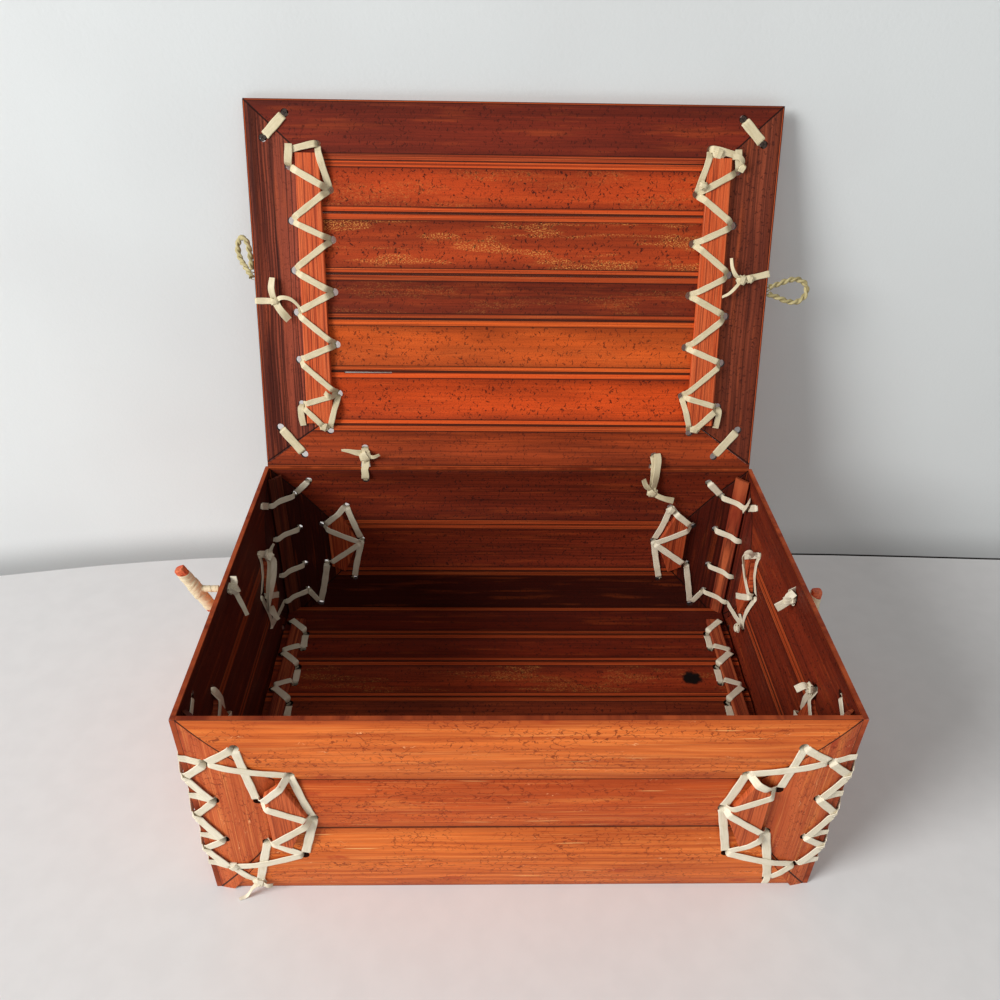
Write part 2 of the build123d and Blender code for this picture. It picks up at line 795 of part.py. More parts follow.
def make_loop(name, side, place, lean, droop):
    """A cord loop beside the lid's edge, leaning along it and drooping behind it."""
    axis_out = lid_half + loop_edge_gap + loop_barrel_radius
    root = point_on(lid_panel, side * axis_out, place, edge_thick / 2)
    tilt = radians(lean)
    flat_out = lid_panel.x_dir * side * cos(tilt) + lid_panel.y_dir * sin(tilt)
    flat_along = lid_panel.x_dir * side * -sin(tilt) + lid_panel.y_dir * cos(tilt)
    turn_axis = Axis(Vector(0, 0, 0), lid_panel.y_dir)
    outward = flat_out.rotate(turn_axis, side * droop)
    along = flat_along.rotate(turn_axis, side * droop)
    path_plane = Plane(origin=root, x_dir=outward, z_dir=outward.cross(along))
    first = (loop_root_spread * sin(tilt), loop_root_spread * cos(tilt))
    last = (-first[0], -first[1])
    first_touch = tangent_from(first, 1)
    last_touch = tangent_from(last, -1)
    with BuildPart() as loop:
        with BuildLine(path_plane) as path:
            Line(first, first_touch)
            ThreePointArc(first_touch, (loop_reach + loop_bow_radius, 0), last_touch)
            Line(last_touch, last)
        start = path_plane.from_local_coords(Vector(*first, 0))
        heading = path_plane.from_local_coords(Vector(*first_touch, 0)) - start
        with BuildSketch(Plane(origin=start, z_dir=heading)) as section:
            Circle(cord_radius)
        sweep(section.sketch, path=path.wire())
        with BuildSketch(Plane(origin=root, z_dir=lid_panel.y_dir)) as barrel:
            Circle(loop_barrel_radius)
        extrude(barrel.sketch, amount=loop_barrel_length / 2, both=True)
    save(loop, name)


make_loop("left_loop", -1, left_loop_place, left_loop_lean, left_loop_droop)
make_loop("right_loop", 1, right_loop_place, 0, 0)

# Straps round the lid's side edges, knotted inside, that hold the loops
strap_level = rise_of(lid_stile_width) + lace_lift
with BuildPart() as loop_knots:
    loop_straps = (
        (-1, loop_knot_places[0], left_strap_place, loop_knot_turns[0]),
        (1, loop_knot_places[1], right_strap_place, loop_knot_turns[1]),
    )
    for side, place, strap_place, turns in loop_straps:
        tie_knot(lid_panel, place, turns)
        thread_holes(lid_panel, [place], -strap_level, inner_level + lace_thick)
        edge_x = side * (lid_half + lace_lift)
        edge_place = (edge_x, strap_place)
        lay_runs(lid_panel, inner_level, [(place, edge_place)])
        lay_runs(lid_panel, -strap_level, [(place, edge_place)])
        begin = point_on(lid_panel, *edge_place, inner_level)
        finish = point_on(lid_panel, *edge_place, -strap_level)
        strap(begin, finish, lid_panel.x_dir)
save(loop_knots, "loop_knots")


def winding_joints(plane):
    """Helix points and headings, one each half turn, round the plane's z axis."""
    coil_radius = peg_core_radius + winding_gap + winding_radius
    climb = winding_pitch / (2 * pi)
    speed = hypot(coil_radius, climb)
    joints = []
    for step in range(2 * winding_turns + 1):
        turn = pi * step
        place = Vector(coil_radius * cos(turn), coil_radius * sin(turn), winding_start + climb * turn)
        heading = Vector(-coil_radius * sin(turn) / speed, coil_radius * cos(turn) / speed, climb / speed)
        origin = plane.from_local_coords(Vector(0, 0, 0))
        joints.append((plane.from_local_coords(place), plane.from_local_coords(heading) - origin))
    return joints


def biarc_middle(start, start_heading, end, end_heading):
    """Where the two arcs of a half turn meet, and their heading there."""
    span = end - start
    both = start_heading + end_heading
    spread = 2 * (1 - start_heading.dot(end_heading))
    reach = (-span.dot(both) + sqrt(span.dot(both) ** 2 + spread * span.dot(span))) / spread
    middle = (start + end + (start_heading - end_heading) * reach) / 2
    heading = (end - end_heading * reach) - (start + start_heading * reach)
    return middle, heading.normalized()


def wind_peg(name, plane):
    """Cane wound round the peg's core as one unbroken tube."""
    joints = winding_joints(plane)
    with BuildPart() as winding:
        with BuildLine():
            for (start, start_heading), (end, end_heading) in zip(joints[:-1], joints[1:]):
                middle, heading = biarc_middle(start, start_heading, end, end_heading)
                TangentArc(start, middle, tangent=start_heading)
                TangentArc(middle, end, tangent=heading)
        with BuildSketch(Plane(origin=joints[0][0], z_dir=joints[0][1])):
            Circle(winding_radius)
        sweep()
    save(winding, name)


def least_winding_gap():
    """Smallest clear distance between points on neighbouring turns of the winding."""
    joints = winding_joints(Plane.XY)
    line = []
    for (start, start_heading), (end, end_heading) in zip(joints[:8], joints[1:9]):
        middle, heading = biarc_middle(start, start_heading, end, end_heading)
        for arc_start, arc_end, tangent in ((start, middle, start_heading), (middle, end, heading)):
            arc = TangentArc(arc_start, arc_end, tangent=tangent, mode=Mode.PRIVATE)
            line += [arc.position_at(step / 12) for step in range(12)]
    turn_steps = 48
    gaps = []
    for number, place in enumerate(line):
        for other in line[number + turn_steps // 2:]:
            gaps.append((other - place).length - 2 * winding_radius)
    return min(gaps)


def make_peg(hand, side, panel, place, height, lean, droop):
    """A toggle peg on its stalk, outside a side wall."""
    across = panel.to_local_coords(Vector(side * chest_width / 2, place, 0)).X
    root = point_on(panel, across, height, -(stub_reach + stalk_gap))
    outward = -panel.z_dir
    down = Vector(0, 0, -1)
    stalk_heading = outward * cos(radians(droop)) + down * sin(radians(droop))
    neck = root + outward * stalk_root_length
    centre = neck + stalk_heading * stalk_length
    peg_heading = outward * sin(radians(lean)) - down * cos(radians(lean))
    foot = centre - peg_heading * peg_length / 2
    peg_plane = Plane(origin=foot, x_dir=panel.y_dir.cross(panel.z_dir), z_dir=peg_heading)
    with BuildPart() as peg:
        with BuildSketch(peg_plane):
            Circle(peg_core_radius)
        extrude(amount=peg_length)
        ends = peg.edges().filter_by(GeomType.CIRCLE)
        fillet(ends, radius=peg_end_round)
    save(peg, f"{hand}_peg")
    wind_peg(f"{hand}_peg_winding", peg_plane)
    with BuildPart() as stalk:
        with BuildSketch(Plane(origin=root, z_dir=outward)):
            Circle(stalk_root_radius)
        extrude(amount=stalk_root_length)
        with BuildSketch(Plane(origin=neck, z_dir=stalk_heading)):
            Circle(stalk_radius)
        extrude(amount=stalk_length)
        clear_radius = peg_core_radius + winding_gap + 2 * winding_radius + stalk_gap
        with BuildSketch(peg_plane.offset(-overrun)):
            Circle(clear_radius)
        extrude(amount=peg_length + 2 * overrun, mode=Mode.SUBTRACT)
        stalk_pieces = stalk.part.solids().sort_by(SortBy.VOLUME)
        add(stalk_pieces[-1], mode=Mode.REPLACE)
    save(stalk, f"{hand}_peg_stalk")


make_peg("left", -1, left, left_peg_place, left_peg_height, left_peg_lean, left_stalk_droop)
make_peg("right", 1, right, right_peg_place, right_peg_height, right_peg_lean, right_stalk_droop)
print("least gap between the turns of a peg's winding, mm:", round(least_winding_gap(), 3))

# Knots inside the side walls and the cane through the wall that carries the stalks
with BuildPart() as peg_knots:
    peg_ties = (
        (left, (left_peg_across, left_peg_height), peg_knot_turns[0]),
        (right, (right_peg_across, right_peg_height), peg_knot_turns[1]),
    )
    for panel, place, turns in peg_ties:
        tie_knot(panel, place, turns)
        with BuildSketch(panel.offset(-stub_reach)):
            with Locations(place):
                Circle(stub_radius)
        extrude(amount=stub_reach + inner_level)
save(peg_knots, "peg_knots")
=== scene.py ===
import bmesh
import bpy
from math import cos, hypot, pi, radians, sin, tan, tau
from random import Random
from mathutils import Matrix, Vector
from mathutils.bvhtree import BVHTree


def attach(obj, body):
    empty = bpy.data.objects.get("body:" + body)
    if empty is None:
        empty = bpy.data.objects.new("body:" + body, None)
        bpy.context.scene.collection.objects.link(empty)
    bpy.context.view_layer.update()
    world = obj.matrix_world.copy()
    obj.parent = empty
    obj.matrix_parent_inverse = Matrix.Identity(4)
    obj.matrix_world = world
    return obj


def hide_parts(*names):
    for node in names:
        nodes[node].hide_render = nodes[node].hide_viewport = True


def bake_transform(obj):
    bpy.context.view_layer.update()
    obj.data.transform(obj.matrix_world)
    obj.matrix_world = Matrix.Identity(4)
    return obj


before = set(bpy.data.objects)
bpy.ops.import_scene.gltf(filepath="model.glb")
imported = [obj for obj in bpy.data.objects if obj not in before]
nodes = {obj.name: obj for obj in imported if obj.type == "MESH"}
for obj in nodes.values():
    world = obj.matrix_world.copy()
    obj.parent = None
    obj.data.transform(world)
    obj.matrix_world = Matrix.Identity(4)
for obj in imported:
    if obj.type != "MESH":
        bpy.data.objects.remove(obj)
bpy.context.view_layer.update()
MM = 0.001
X, Y, Z = Vector((1, 0, 0)), Vector((0, 1, 0)), Vector((0, 0, 1))

# Sizes in mm, as in the CAD
W, D, H = 340, 227, 140
EDGE, HOLE, STILE = 2.6, 2.5, 42
FLOOR_LIFT, FLOOR_PLAY, FLOOR_BACK_GAP = 14, 0.2, 2
LID_DEPTH, LID_HALF, LID_STILE = 232, 169, 38
LID_TURN, LID_GAP, LID_CLEAR = radians(107.5), 2, 1.25
HINGE_BACK, HINGE_UP = 1.3, 0.3
CANE_W, CANE_T = 4.7, 0.55
RAY_FROM, RAY_LENGTH = 14, 20      # a panel's surface is looked for from this far off


class Panel:
    """A wall, the lid or the floor: x along it, y up it, z inward; lengths in mm."""

    def __init__(self, origin, x, z):
        self.o, self.x, self.z = Vector(origin), Vector(x), Vector(z)
        self.y = self.z.cross(self.x)
        self.tree = None

    def at(self, x, y, z=0.0):
        return self.o + self.x * x + self.y * y + self.z * z

    def trail(self, start, side, *steps):
        """Points beside the place start; x counts outward on that side, y up, z inward."""
        return [self.at(start[0] + side * x, start[1] + y, z) for x, y, z in steps]

    def local(self, p):
        d = p - self.o
        return d.dot(self.x), d.dot(self.y), d.dot(self.z)

    def solid(self, names):
        verts, faces = [], []
        for name in names:
            mesh, base = nodes[name].data, len(verts)
            verts += [v.co / MM for v in mesh.vertices]
            faces += [[base + i for i in p.vertices] for p in mesh.polygons]
        self.tree = BVHTree.FromPolygons(verts, faces)

    def height(self, side, x, y):
        """Surface over the edge plane, seen from outside (side -1) or inside (side 1)."""
        hit = self.tree.ray_cast(self.at(x, y, side * RAY_FROM), self.z * -side, RAY_LENGTH)[0]
        return None if hit is None else side * self.local(hit)[2]


front = Panel((0, 0, 0), (-1, 0, 0), (0, 1, 0))
back = Panel((0, D, 0), (1, 0, 0), (0, -1, 0))
left = Panel((-W / 2, D / 2, 0), (0, 1, 0), (1, 0, 0))
right = Panel((W / 2, D / 2, 0), (0, -1, 0), (-1, 0, 0))
floor = Panel((0, EDGE + FLOOR_PLAY, FLOOR_LIFT - EDGE), (1, 0, 0), (0, 0, 1))
HINGE = Vector((0, D + HINGE_BACK, H + HINGE_UP))
ALONG = Vector((0, -cos(LID_TURN), sin(LID_TURN)))
OUT = Vector((0, sin(LID_TURN), cos(LID_TURN)))
lid = Panel(HINGE + ALONG * LID_GAP + OUT * (LID_CLEAR - HINGE_UP + EDGE), (1, 0, 0), -OUT)
WALLS = {"front": front, "back": back, "left": left, "right": right}
KINDS = ("rail", "stile", "slat", "battens")
for prefix, panel in WALLS.items():
    panel.solid([n for n in nodes if n.startswith(prefix + "_") and any(kind in n for kind in KINDS)])
lid.solid([n for n in nodes if n.startswith("lid_") and n != "lid_lace"])
floor.solid([n for n in nodes if n.startswith("bottom_board") or n == "bottom_battens"])


def link(name, data):
    obj = bpy.data.objects.new(name, data)
    bpy.context.scene.collection.objects.link(obj)
    return obj


# The camera: focal length in pixels of the picture, turns in radians, place in mm
PICTURE, FOCAL, FILM = 1000, 868.469, 36
PITCH, YAW, ROLL = 0.6052, -0.0279, 0.0205
EYE = Vector((-20.869, -285.194, 466.791))


def make_camera():
    level = Vector((cos(YAW), sin(YAW), 0))
    forward = Vector((-sin(YAW), cos(YAW), 0))
    ahead = forward * cos(PITCH) - Z * sin(PITCH)
    down = -forward * sin(PITCH) - Z * cos(PITCH)
    across = level * cos(ROLL) - down * sin(ROLL)
    drop = level * sin(ROLL) + down * cos(ROLL)
    cam = link("Camera", bpy.data.cameras.new("Camera"))
    place = cam.matrix_world.copy()
    for i, axis in enumerate((across, -drop, -ahead, EYE * MM)):
        for j in range(3):
            place[j][i] = axis[j]
    cam.matrix_world = place
    cam.data.sensor_fit = "HORIZONTAL"
    cam.data.sensor_width = FILM
    cam.data.lens = FOCAL * FILM / PICTURE
    cam.data.clip_start, cam.data.clip_end = 0.01, 50
    bpy.context.scene.camera = cam


make_camera()


# Finishes
def lin(r, g, b):
    """A colour given as 0-255 screen values."""
    return tuple((c / 255 / 12.92) if c / 255 <= 0.04045 else ((c / 255 + 0.055) / 1.055) ** 2.4
                 for c in (r, g, b)) + (1,)


class Graph:
    """Short calls for building one node tree."""

    def __init__(self, tree):
        self.t = tree

    def fill(self, n, ins):
        for k, v in ins.items():
            if isinstance(v, bpy.types.NodeSocket):
                self.t.links.new(v, n.inputs[k])
            else:
                n.inputs[k].default_value = v
        return n

    def node(self, kind, ins=None, **props):
        n = self.t.nodes.new(kind)
        for k, v in props.items():
            setattr(n, k, v)
        return self.fill(n, ins or {})

    def math(self, op, a, b=0.0):
        return self.node("ShaderNodeMath", {0: a, 1: b}, operation=op).outputs[0]

    def add(self, a, b):
        return self.math("ADD", a, b)

    def sub(self, a, b):
        return self.math("SUBTRACT", a, b)

    def mul(self, a, b):
        return self.math("MULTIPLY", a, b)

    def size(self, v):
        """v without its sign."""
        return self.math("ABSOLUTE", v)

    def vmath(self, op, a, b):
        return self.node("ShaderNodeVectorMath", {0: a, 1: b}, operation=op).outputs[0]

    def dot(self, a, b):
        n = self.node("ShaderNodeVectorMath", {0: a, 1: b}, operation="DOT_PRODUCT")
        return n.outputs["Value"]

    def mix(self, fac, a, b):
        n = self.t.nodes.new("ShaderNodeMix")
        n.data_type, n.clamp_factor = "RGBA", True
        return self.fill(n, {0: fac, 6: a, 7: b}).outputs[2]

    def layers(self, base, *coats):
        """base under its coats, each a mask, a colour and an amount."""
        for mask, colour, amount in coats:
            base = self.mix(mask if amount == 1 else self.mul(mask, amount), base, colour)
        return base

    def step(self, v, low, high, a=0.0, b=1.0):
        """Smooth ramp of v from a at low to b at high."""
        return self.node("ShaderNodeMapRange", {0: v, 1: low, 2: high, 3: a, 4: b},
                         interpolation_type="SMOOTHSTEP").outputs[0]

    def xyz(self, x, y, z=0.0):
        return self.node("ShaderNodeCombineXYZ", {0: x, 1: y, 2: z}).outputs[0]

    def parts(self, vec):
        return self.node("ShaderNodeSeparateXYZ", {0: vec}).outputs

    def place(self):
        """The place in the object's own space, so a finish rides with its piece."""
        return self.node("ShaderNodeTexCoord").outputs["Object"]

    def noise(self, vec, scale=1.0, detail=3.0, rough=0.5):
        return self.node("ShaderNodeTexNoise", {"Vector": vec, "Scale": scale, "Detail": detail,
                         "Roughness": rough}).outputs[0]

    def cells(self, vec, feature="F1"):
        """Distance from the middle of the nearest cell, or from its edge."""
        return self.node("ShaderNodeTexVoronoi", {"Vector": vec, "Scale": 1.0},
                         feature=feature).outputs["Distance"]

    def bump(self, height, strength, depth, **more):
        ins = {"Height": height, "Strength": strength, "Distance": depth, **more}
        return self.node("ShaderNodeBump", ins).outputs[0]

    def coat(self, specular, **ins):
        """The surface itself; a name's underscores stand for the socket's spaces."""
        ins = {key.replace("_", " "): value for key, value in ins.items()}
        return self.node("ShaderNodeBsdfPrincipled", {**ins, "Specular IOR Level": specular}).outputs[0]


def new_material(name):
    m = bpy.data.materials.new(name)
    m.use_nodes = True
    m.node_tree.nodes.clear()
    return m, Graph(m.node_tree)


def show(g, surface, kind="ShaderNodeOutputMaterial"):
    g.t.links.new(surface, g.node(kind).inputs[0])


BOARD_INPUTS = {
    "Vector": ("Origin", "Grain", "Across", "Inward"),
    "Color": ("Skin", "Inside"),
    "Float": ("Half", "Crown", "Seed", "Flecks", "Streaks", "Worn", "Reach", "Turn",
              "Low slope", "High slope"),
}
BOARD_OUTPUTS = {"Color": "Color", "Roughness": "Float", "Height": "Float"}
NO_MITRE = 800.0          # a longer reach than this means a board without mitres
LIP, OUTER_LIP = 4.1, 1.2      # widths of the planed lips, between boards and along the frame's edge
SKIN_TO, INSIDE_FROM = 1.35, 1.75      # depths from a board's crown


class SplitBamboo(Graph):
    """Colour, roughness and height of a split, inside and outside, in mm of the board."""

    def __init__(self):
        super().__init__(bpy.data.node_groups.new("split_bamboo", "ShaderNodeTree"))
        face = self.t.interface
        for kind, names in BOARD_INPUTS.items():
            for name in names:
                face.new_socket(name, in_out="INPUT", socket_type=f"NodeSocket{kind}")
        for name, kind in BOARD_OUTPUTS.items():
            face.new_socket(name, in_out="OUTPUT", socket_type=f"NodeSocket{kind}")
        self.i = self.node("NodeGroupInput").outputs
        p = self.vmath("SUBTRACT", self.place(), self.i["Origin"])
        self.u, self.v, self.w = (self.mul(self.dot(p, self.i[axis]), 1000)
                                  for axis in ("Grain", "Across", "Inward"))
        self.border = self.sub(self.i["Half"], self.size(self.v))
        self.find_fibres()
        self.find_mitre()
        self.node("NodeGroupOutput", {"Color": self.colour(), "Roughness": self.roughness(),
                                      "Height": self.relief()})

    def at(self, ku, kv, u=None, v=None, shift=0.0):
        """Where a stretched texture is read; shift picks another stretch of it."""
        u, v = self.u if u is None else u, self.v if v is None else v
        return self.xyz(self.mul(u, ku), self.mul(v, kv), self.add(self.i["Seed"], shift))

    def find_fibres(self):
        self.vv = self.add(self.v, self.mul(self.noise(self.at(0.012, 0.03), 1, 2), 4.0))
        self.fine = self.noise(self.at(0.03, 2.9, v=self.vv), 1, 3, 0.65)
        self.thread = self.noise(self.at(0.012, 1.25, v=self.vv, shift=7), 1, 3, 0.6)
        self.coarse = self.noise(self.at(0.008, 0.36, v=self.vv, shift=3), 1, 4, 0.6)
        self.broad = self.noise(self.at(0.01, 0.05), 1, 2)
        self.cloud = self.noise(self.at(0.022, 0.24, shift=5), 1, 3)
        self.grit = self.noise(self.at(2.6, 3.2, shift=37), 1, 2)
        self.wriggle = self.noise(self.at(0.35, 0.5, shift=9), 1, 2)
        self.su = self.add(self.u, self.mul(self.wriggle, 5.5))
        self.sv = self.add(self.v, self.mul(self.noise(self.at(0.3, 0.45, shift=29), 1, 2), 4.5))

    def find_mitre(self):
        """The dark line where rail and stile meet, and the planed lips along a board's edges."""
        i = self.i
        along = self.sub(i["Reach"], self.size(self.u))
        edge = self.add(i["Half"], self.mul(self.v, i["Turn"]))
        self.outer = self.mul(self.math("LESS_THAN", edge, i["Half"]),
                              self.math("LESS_THAN", i["Reach"], NO_MITRE))
        lip_width = self.sub(LIP, self.mul(self.outer, LIP - OUTER_LIP))
        self.lip = self.step(self.sub(self.border, lip_width), 0.15, -0.2)
        self.groove = self.step(self.size(self.sub(self.border, lip_width)), 0.5, 0.15)
        high = self.math("GREATER_THAN", self.u, 0.0)
        slope = self.add(self.mul(i["High slope"], high),
                         self.mul(i["Low slope"], self.sub(1.0, high)))
        off = self.size(self.sub(edge, self.mul(along, slope)))
        off = self.math("DIVIDE", off, self.math("SQRT", self.add(1.0, self.mul(slope, slope))))
        self.seam = self.step(off, 0.62, 0.3)

    def skin(self):
        """Outside: fibres, hair-thin dark squiggles, stains, pale scratches, painted shade darkening towards
        each board's edges, and a thin dark line along them.
        """
        base = self.i["Skin"]
        web = self.cells(self.at(0.17, 0.34, self.su, self.sv), "DISTANCE_TO_EDGE")
        squiggle = self.step(web, 0.06, 0.015)
        squiggle = self.mul(squiggle, self.step(self.noise(self.at(0.03, 0.09, shift=11), 1, 2), 0.36, 0.6))
        squiggle = self.mul(squiggle, self.step(self.noise(self.at(0.28, 0.5, shift=13), 1, 1), 0.4, 0.5))
        stain = self.cells(self.at(0.017, 0.05, self.su, self.sv, 17))
        scratch = self.step(self.cells(self.at(0.022, 0.75, v=self.sv, shift=19)), 0.14, 0.06)
        bare = self.cells(self.at(0.008, 0.3, v=self.vv, shift=23))
        return self.layers(
            base,
            (self.step(self.coarse, 0.36, 0.66), self.mix(0.6, base, lin(150, 52, 18)), 1),
            (self.step(self.thread, 0.5, 0.72), self.mix(0.5, base, lin(246, 168, 96)), 0.7),
            (self.step(self.fine, 0.52, 0.74), lin(128, 44, 16), 0.5),
            (self.step(self.broad, 0.52, 0.78), lin(150, 52, 20), 0.45),
            (self.step(self.cloud, 0.54, 0.76), lin(232, 138, 66), 0.35),
            (squiggle, lin(110, 36, 14), 0.75),
            (self.step(stain, 0.13, 0.07), lin(168, 58, 28), 0.55),
            (self.mul(scratch, self.step(self.wriggle, 0.45, 0.6)), lin(248, 190, 138), 0.65),
            (self.step(bare, 0.1, 0.05), lin(250, 204, 132), 0.7),
            # painted shade: each board darker towards its edges, the crown's shading painted in
            (self.step(self.border, 6.5, 0.8), lin(140, 48, 18), 0.42),
            (self.step(self.border, 0.6, 0.2), lin(44, 12, 6), 0.75))

    def find_flecks(self):
        """Short dark strokes across the grain, leaning four ways."""
        self.fleck = None
        for lean, shift in ((1.1, 0), (1.35, 23), (2.1, 41), (1.7, 57)):
            du = self.add(self.mul(self.su, cos(lean)), self.mul(self.sv, sin(lean)))
            dv = self.sub(self.mul(self.sv, cos(lean)), self.mul(self.su, sin(lean)))
            patch = self.noise(self.at(0.12, 0.22, shift=shift + 2), 1, 1)
            mark = self.mul(self.step(self.cells(self.at(0.17, 0.5, du, dv, shift)), 0.2, 0.13),
                            self.step(patch, 0.36, 0.46))
            self.fleck = mark if self.fleck is None else self.math("MAXIMUM", self.fleck, mark)

    def inner(self):
        """Inside: long dark lines, flecks, worn specks, lighter planed lips and painted shade towards each
        board's edges.
        """
        i, base = self.i, self.i["Inside"]
        self.find_flecks()
        dots = self.step(self.noise(self.at(1.1, 1.7, shift=31), 1, 2), 0.58, 0.68)
        ribs = self.step(self.noise(self.at(0.004, 0.85, v=self.vv, shift=61), 1, 2), 0.5, 0.6)
        worn = self.mul(self.step(self.noise(self.at(0.9, 1.4, shift=43), 1, 3, 0.7), 0.5, 0.62),
                        self.step(self.noise(self.at(0.02, 0.12, shift=47), 1, 2), 0.5, 0.6))
        lines = self.step(self.noise(self.at(0.005, 1.9, shift=53), 1, 2), 0.5, 0.6)
        planed = self.layers(
            self.mix(self.add(0.34, self.mul(self.outer, 0.4)), base, lin(206, 88, 36)),
            (self.step(self.thread, 0.48, 0.7), self.mix(0.5, base, lin(236, 132, 70)), 0.6),
            (lines, lin(88, 24, 10), 0.7))
        return self.layers(
            self.mix(0.4, base, lin(70, 20, 10)),
            (self.step(self.broad, 0.32, 0.7), base, 1),
            (self.step(self.cloud, 0.52, 0.7), self.mix(0.5, base, lin(226, 104, 44)), 0.3),
            (self.step(self.grit, 0.45, 0.7), lin(84, 24, 10), 0.3),
            (self.mul(self.step(self.coarse, 0.47, 0.62), i["Streaks"]), lin(50, 14, 8), 0.8),
            (self.mul(ribs, i["Streaks"]), lin(34, 9, 6), 0.7),
            # painted shade: darker towards each board's edges, below the lips
            (self.step(self.border, 10.0, 4.0), lin(58, 15, 8), 0.35),
            (self.step(self.fine, 0.5, 0.72), lin(76, 20, 10), 0.45),
            (self.mul(dots, i["Flecks"]), lin(58, 15, 8), 0.45),
            (self.mul(self.fleck, i["Flecks"]), lin(52, 13, 6), 0.9),
            (self.mul(worn, i["Worn"]), lin(238, 164, 84), 0.8),
            (self.lip, planed, 1),
            (self.groove, lin(40, 10, 5), 0.8),
            (self.step(self.border, 0.65, 0.3), lin(34, 9, 5), 0.85))

    def colour(self):
        """Skin and inside, and the cut faces: fibre ends, nearly black round the holes."""
        i = self.i
        share = self.math("DIVIDE", self.v, i["Half"])
        arch = self.sub(1.0, self.mul(share, share))
        depth = self.add(self.w, self.mul(arch, i["Crown"]))
        self.inside = self.step(depth, SKIN_TO, INSIDE_FROM)
        normal = self.node("ShaderNodeVectorTransform",
                           {0: self.node("ShaderNodeNewGeometry").outputs["True Normal"]},
                           vector_type="NORMAL", convert_from="WORLD", convert_to="OBJECT").outputs[0]
        sawn = self.step(self.size(self.dot(normal, i["Inward"])), 0.7, 0.5)
        cut = self.mix(self.step(self.fine, 0.3, 0.75), lin(172, 78, 38), lin(104, 34, 16))
        hole = self.mix(self.step(self.grit, 0.3, 0.7), lin(62, 26, 14), lin(30, 10, 6))
        rim = self.step(self.border, 0.45, 0.15)
        return self.layers(
            self.skin(),
            (self.inside, self.inner(), 1),
            (sawn, self.mix(rim, hole, cut), 1),
            (self.mul(self.seam, self.sub(1.0, sawn)), lin(26, 8, 5), 0.9))

    def roughness(self):
        return self.add(self.mul(self.fine, 0.2), self.add(self.mul(self.inside, 0.12), 0.4))

    def relief(self):
        fibre = self.add(self.mul(self.fine, 0.4), self.mul(self.thread, 0.5))
        fibre = self.sub(fibre, self.mul(self.mul(self.fleck, self.inside), 0.6))
        fibre = self.sub(fibre, self.mul(self.mul(self.groove, self.inside), 0.8))
        return self.sub(fibre, self.mul(self.seam, 0.9))


BOARD = SplitBamboo().t


def board_material(name, panel, middle, half, inside, flecks, streaks, seed,
                   upright=False, skin=None, worn=0.0, mitre=(900, 1, 0.001, 0.001)):
    """A board's own finish; middle is the place on the panel its grain line runs through."""
    m, g = new_material(name)
    grain, across = (panel.y, panel.x) if upright else (panel.x, panel.y)
    crown = half * tan(radians(27.5) / 4)
    n = g.node("ShaderNodeGroup", node_tree=BOARD)
    g.fill(n, {"Origin": panel.at(*middle) * MM, "Grain": grain, "Across": across, "Inward": panel.z,
               "Half": half, "Crown": crown, "Seed": seed, "Skin": skin or SKIN, "Inside": inside,
               "Flecks": flecks, "Streaks": streaks, "Worn": worn, "Reach": mitre[0],
               "Turn": mitre[1], "Low slope": mitre[2], "High slope": mitre[3]})
    show(g, g.coat(0.14, Base_Color=n.outputs["Color"], Roughness=n.outputs["Roughness"],
                   Normal=g.bump(n.outputs["Height"], 0.5, 0.0006)))
    return m


def dress(node, material):
    mesh = nodes[node].data
    if not mesh.materials:
        mesh.materials.append(material)
    for i in range(len(mesh.materials)):
        mesh.materials[i] = material


def dress_board(node, *looks, **more):
    dress(node, board_material(node, *looks, **more))


def mitres(half_run, height, low, high, stile):
    """Reach, side and slopes of the mitres, for the two rails and for the stiles."""
    return {"low": (half_run, 1, low / stile, low / stile),
            "high": (half_run, -1, (height - high) / stile, (height - high) / stile),
            "stile": (height / 2, stile / low, stile / (height - high))}


SKIN, SKIN_SLAT, SKIN_STILE = lin(224, 116, 50), lin(202, 90, 36), lin(200, 98, 52)
# painted shade: the left wall's inside is drawn darker than the others
WALL_IN, LEFT_WALL_IN_SHADED, BACK_RAIL_IN_DARK_AND_SHADED = lin(126, 44, 22), lin(86, 29, 15), lin(58, 18, 10)
STILE_IN = lin(106, 36, 22)
# painted shade: the stiles in the chest's back corners are drawn darker inside, darkest at the back-left
SHADY_STILES = {("back", "left"): lin(52, 17, 11), ("left", "back"): lin(58, 19, 12),
                ("back", "right"): lin(84, 27, 16)}
# Where a wall's slat begins and ends, as shares of its height
SHARES = {"front": (0.389, 0.679), "left": (0.37, 0.67), "right": (0.37, 0.67), "back": (0.345, 0.66)}
rng = Random(11)


def new_seed():
    return rng.uniform(1, 90)


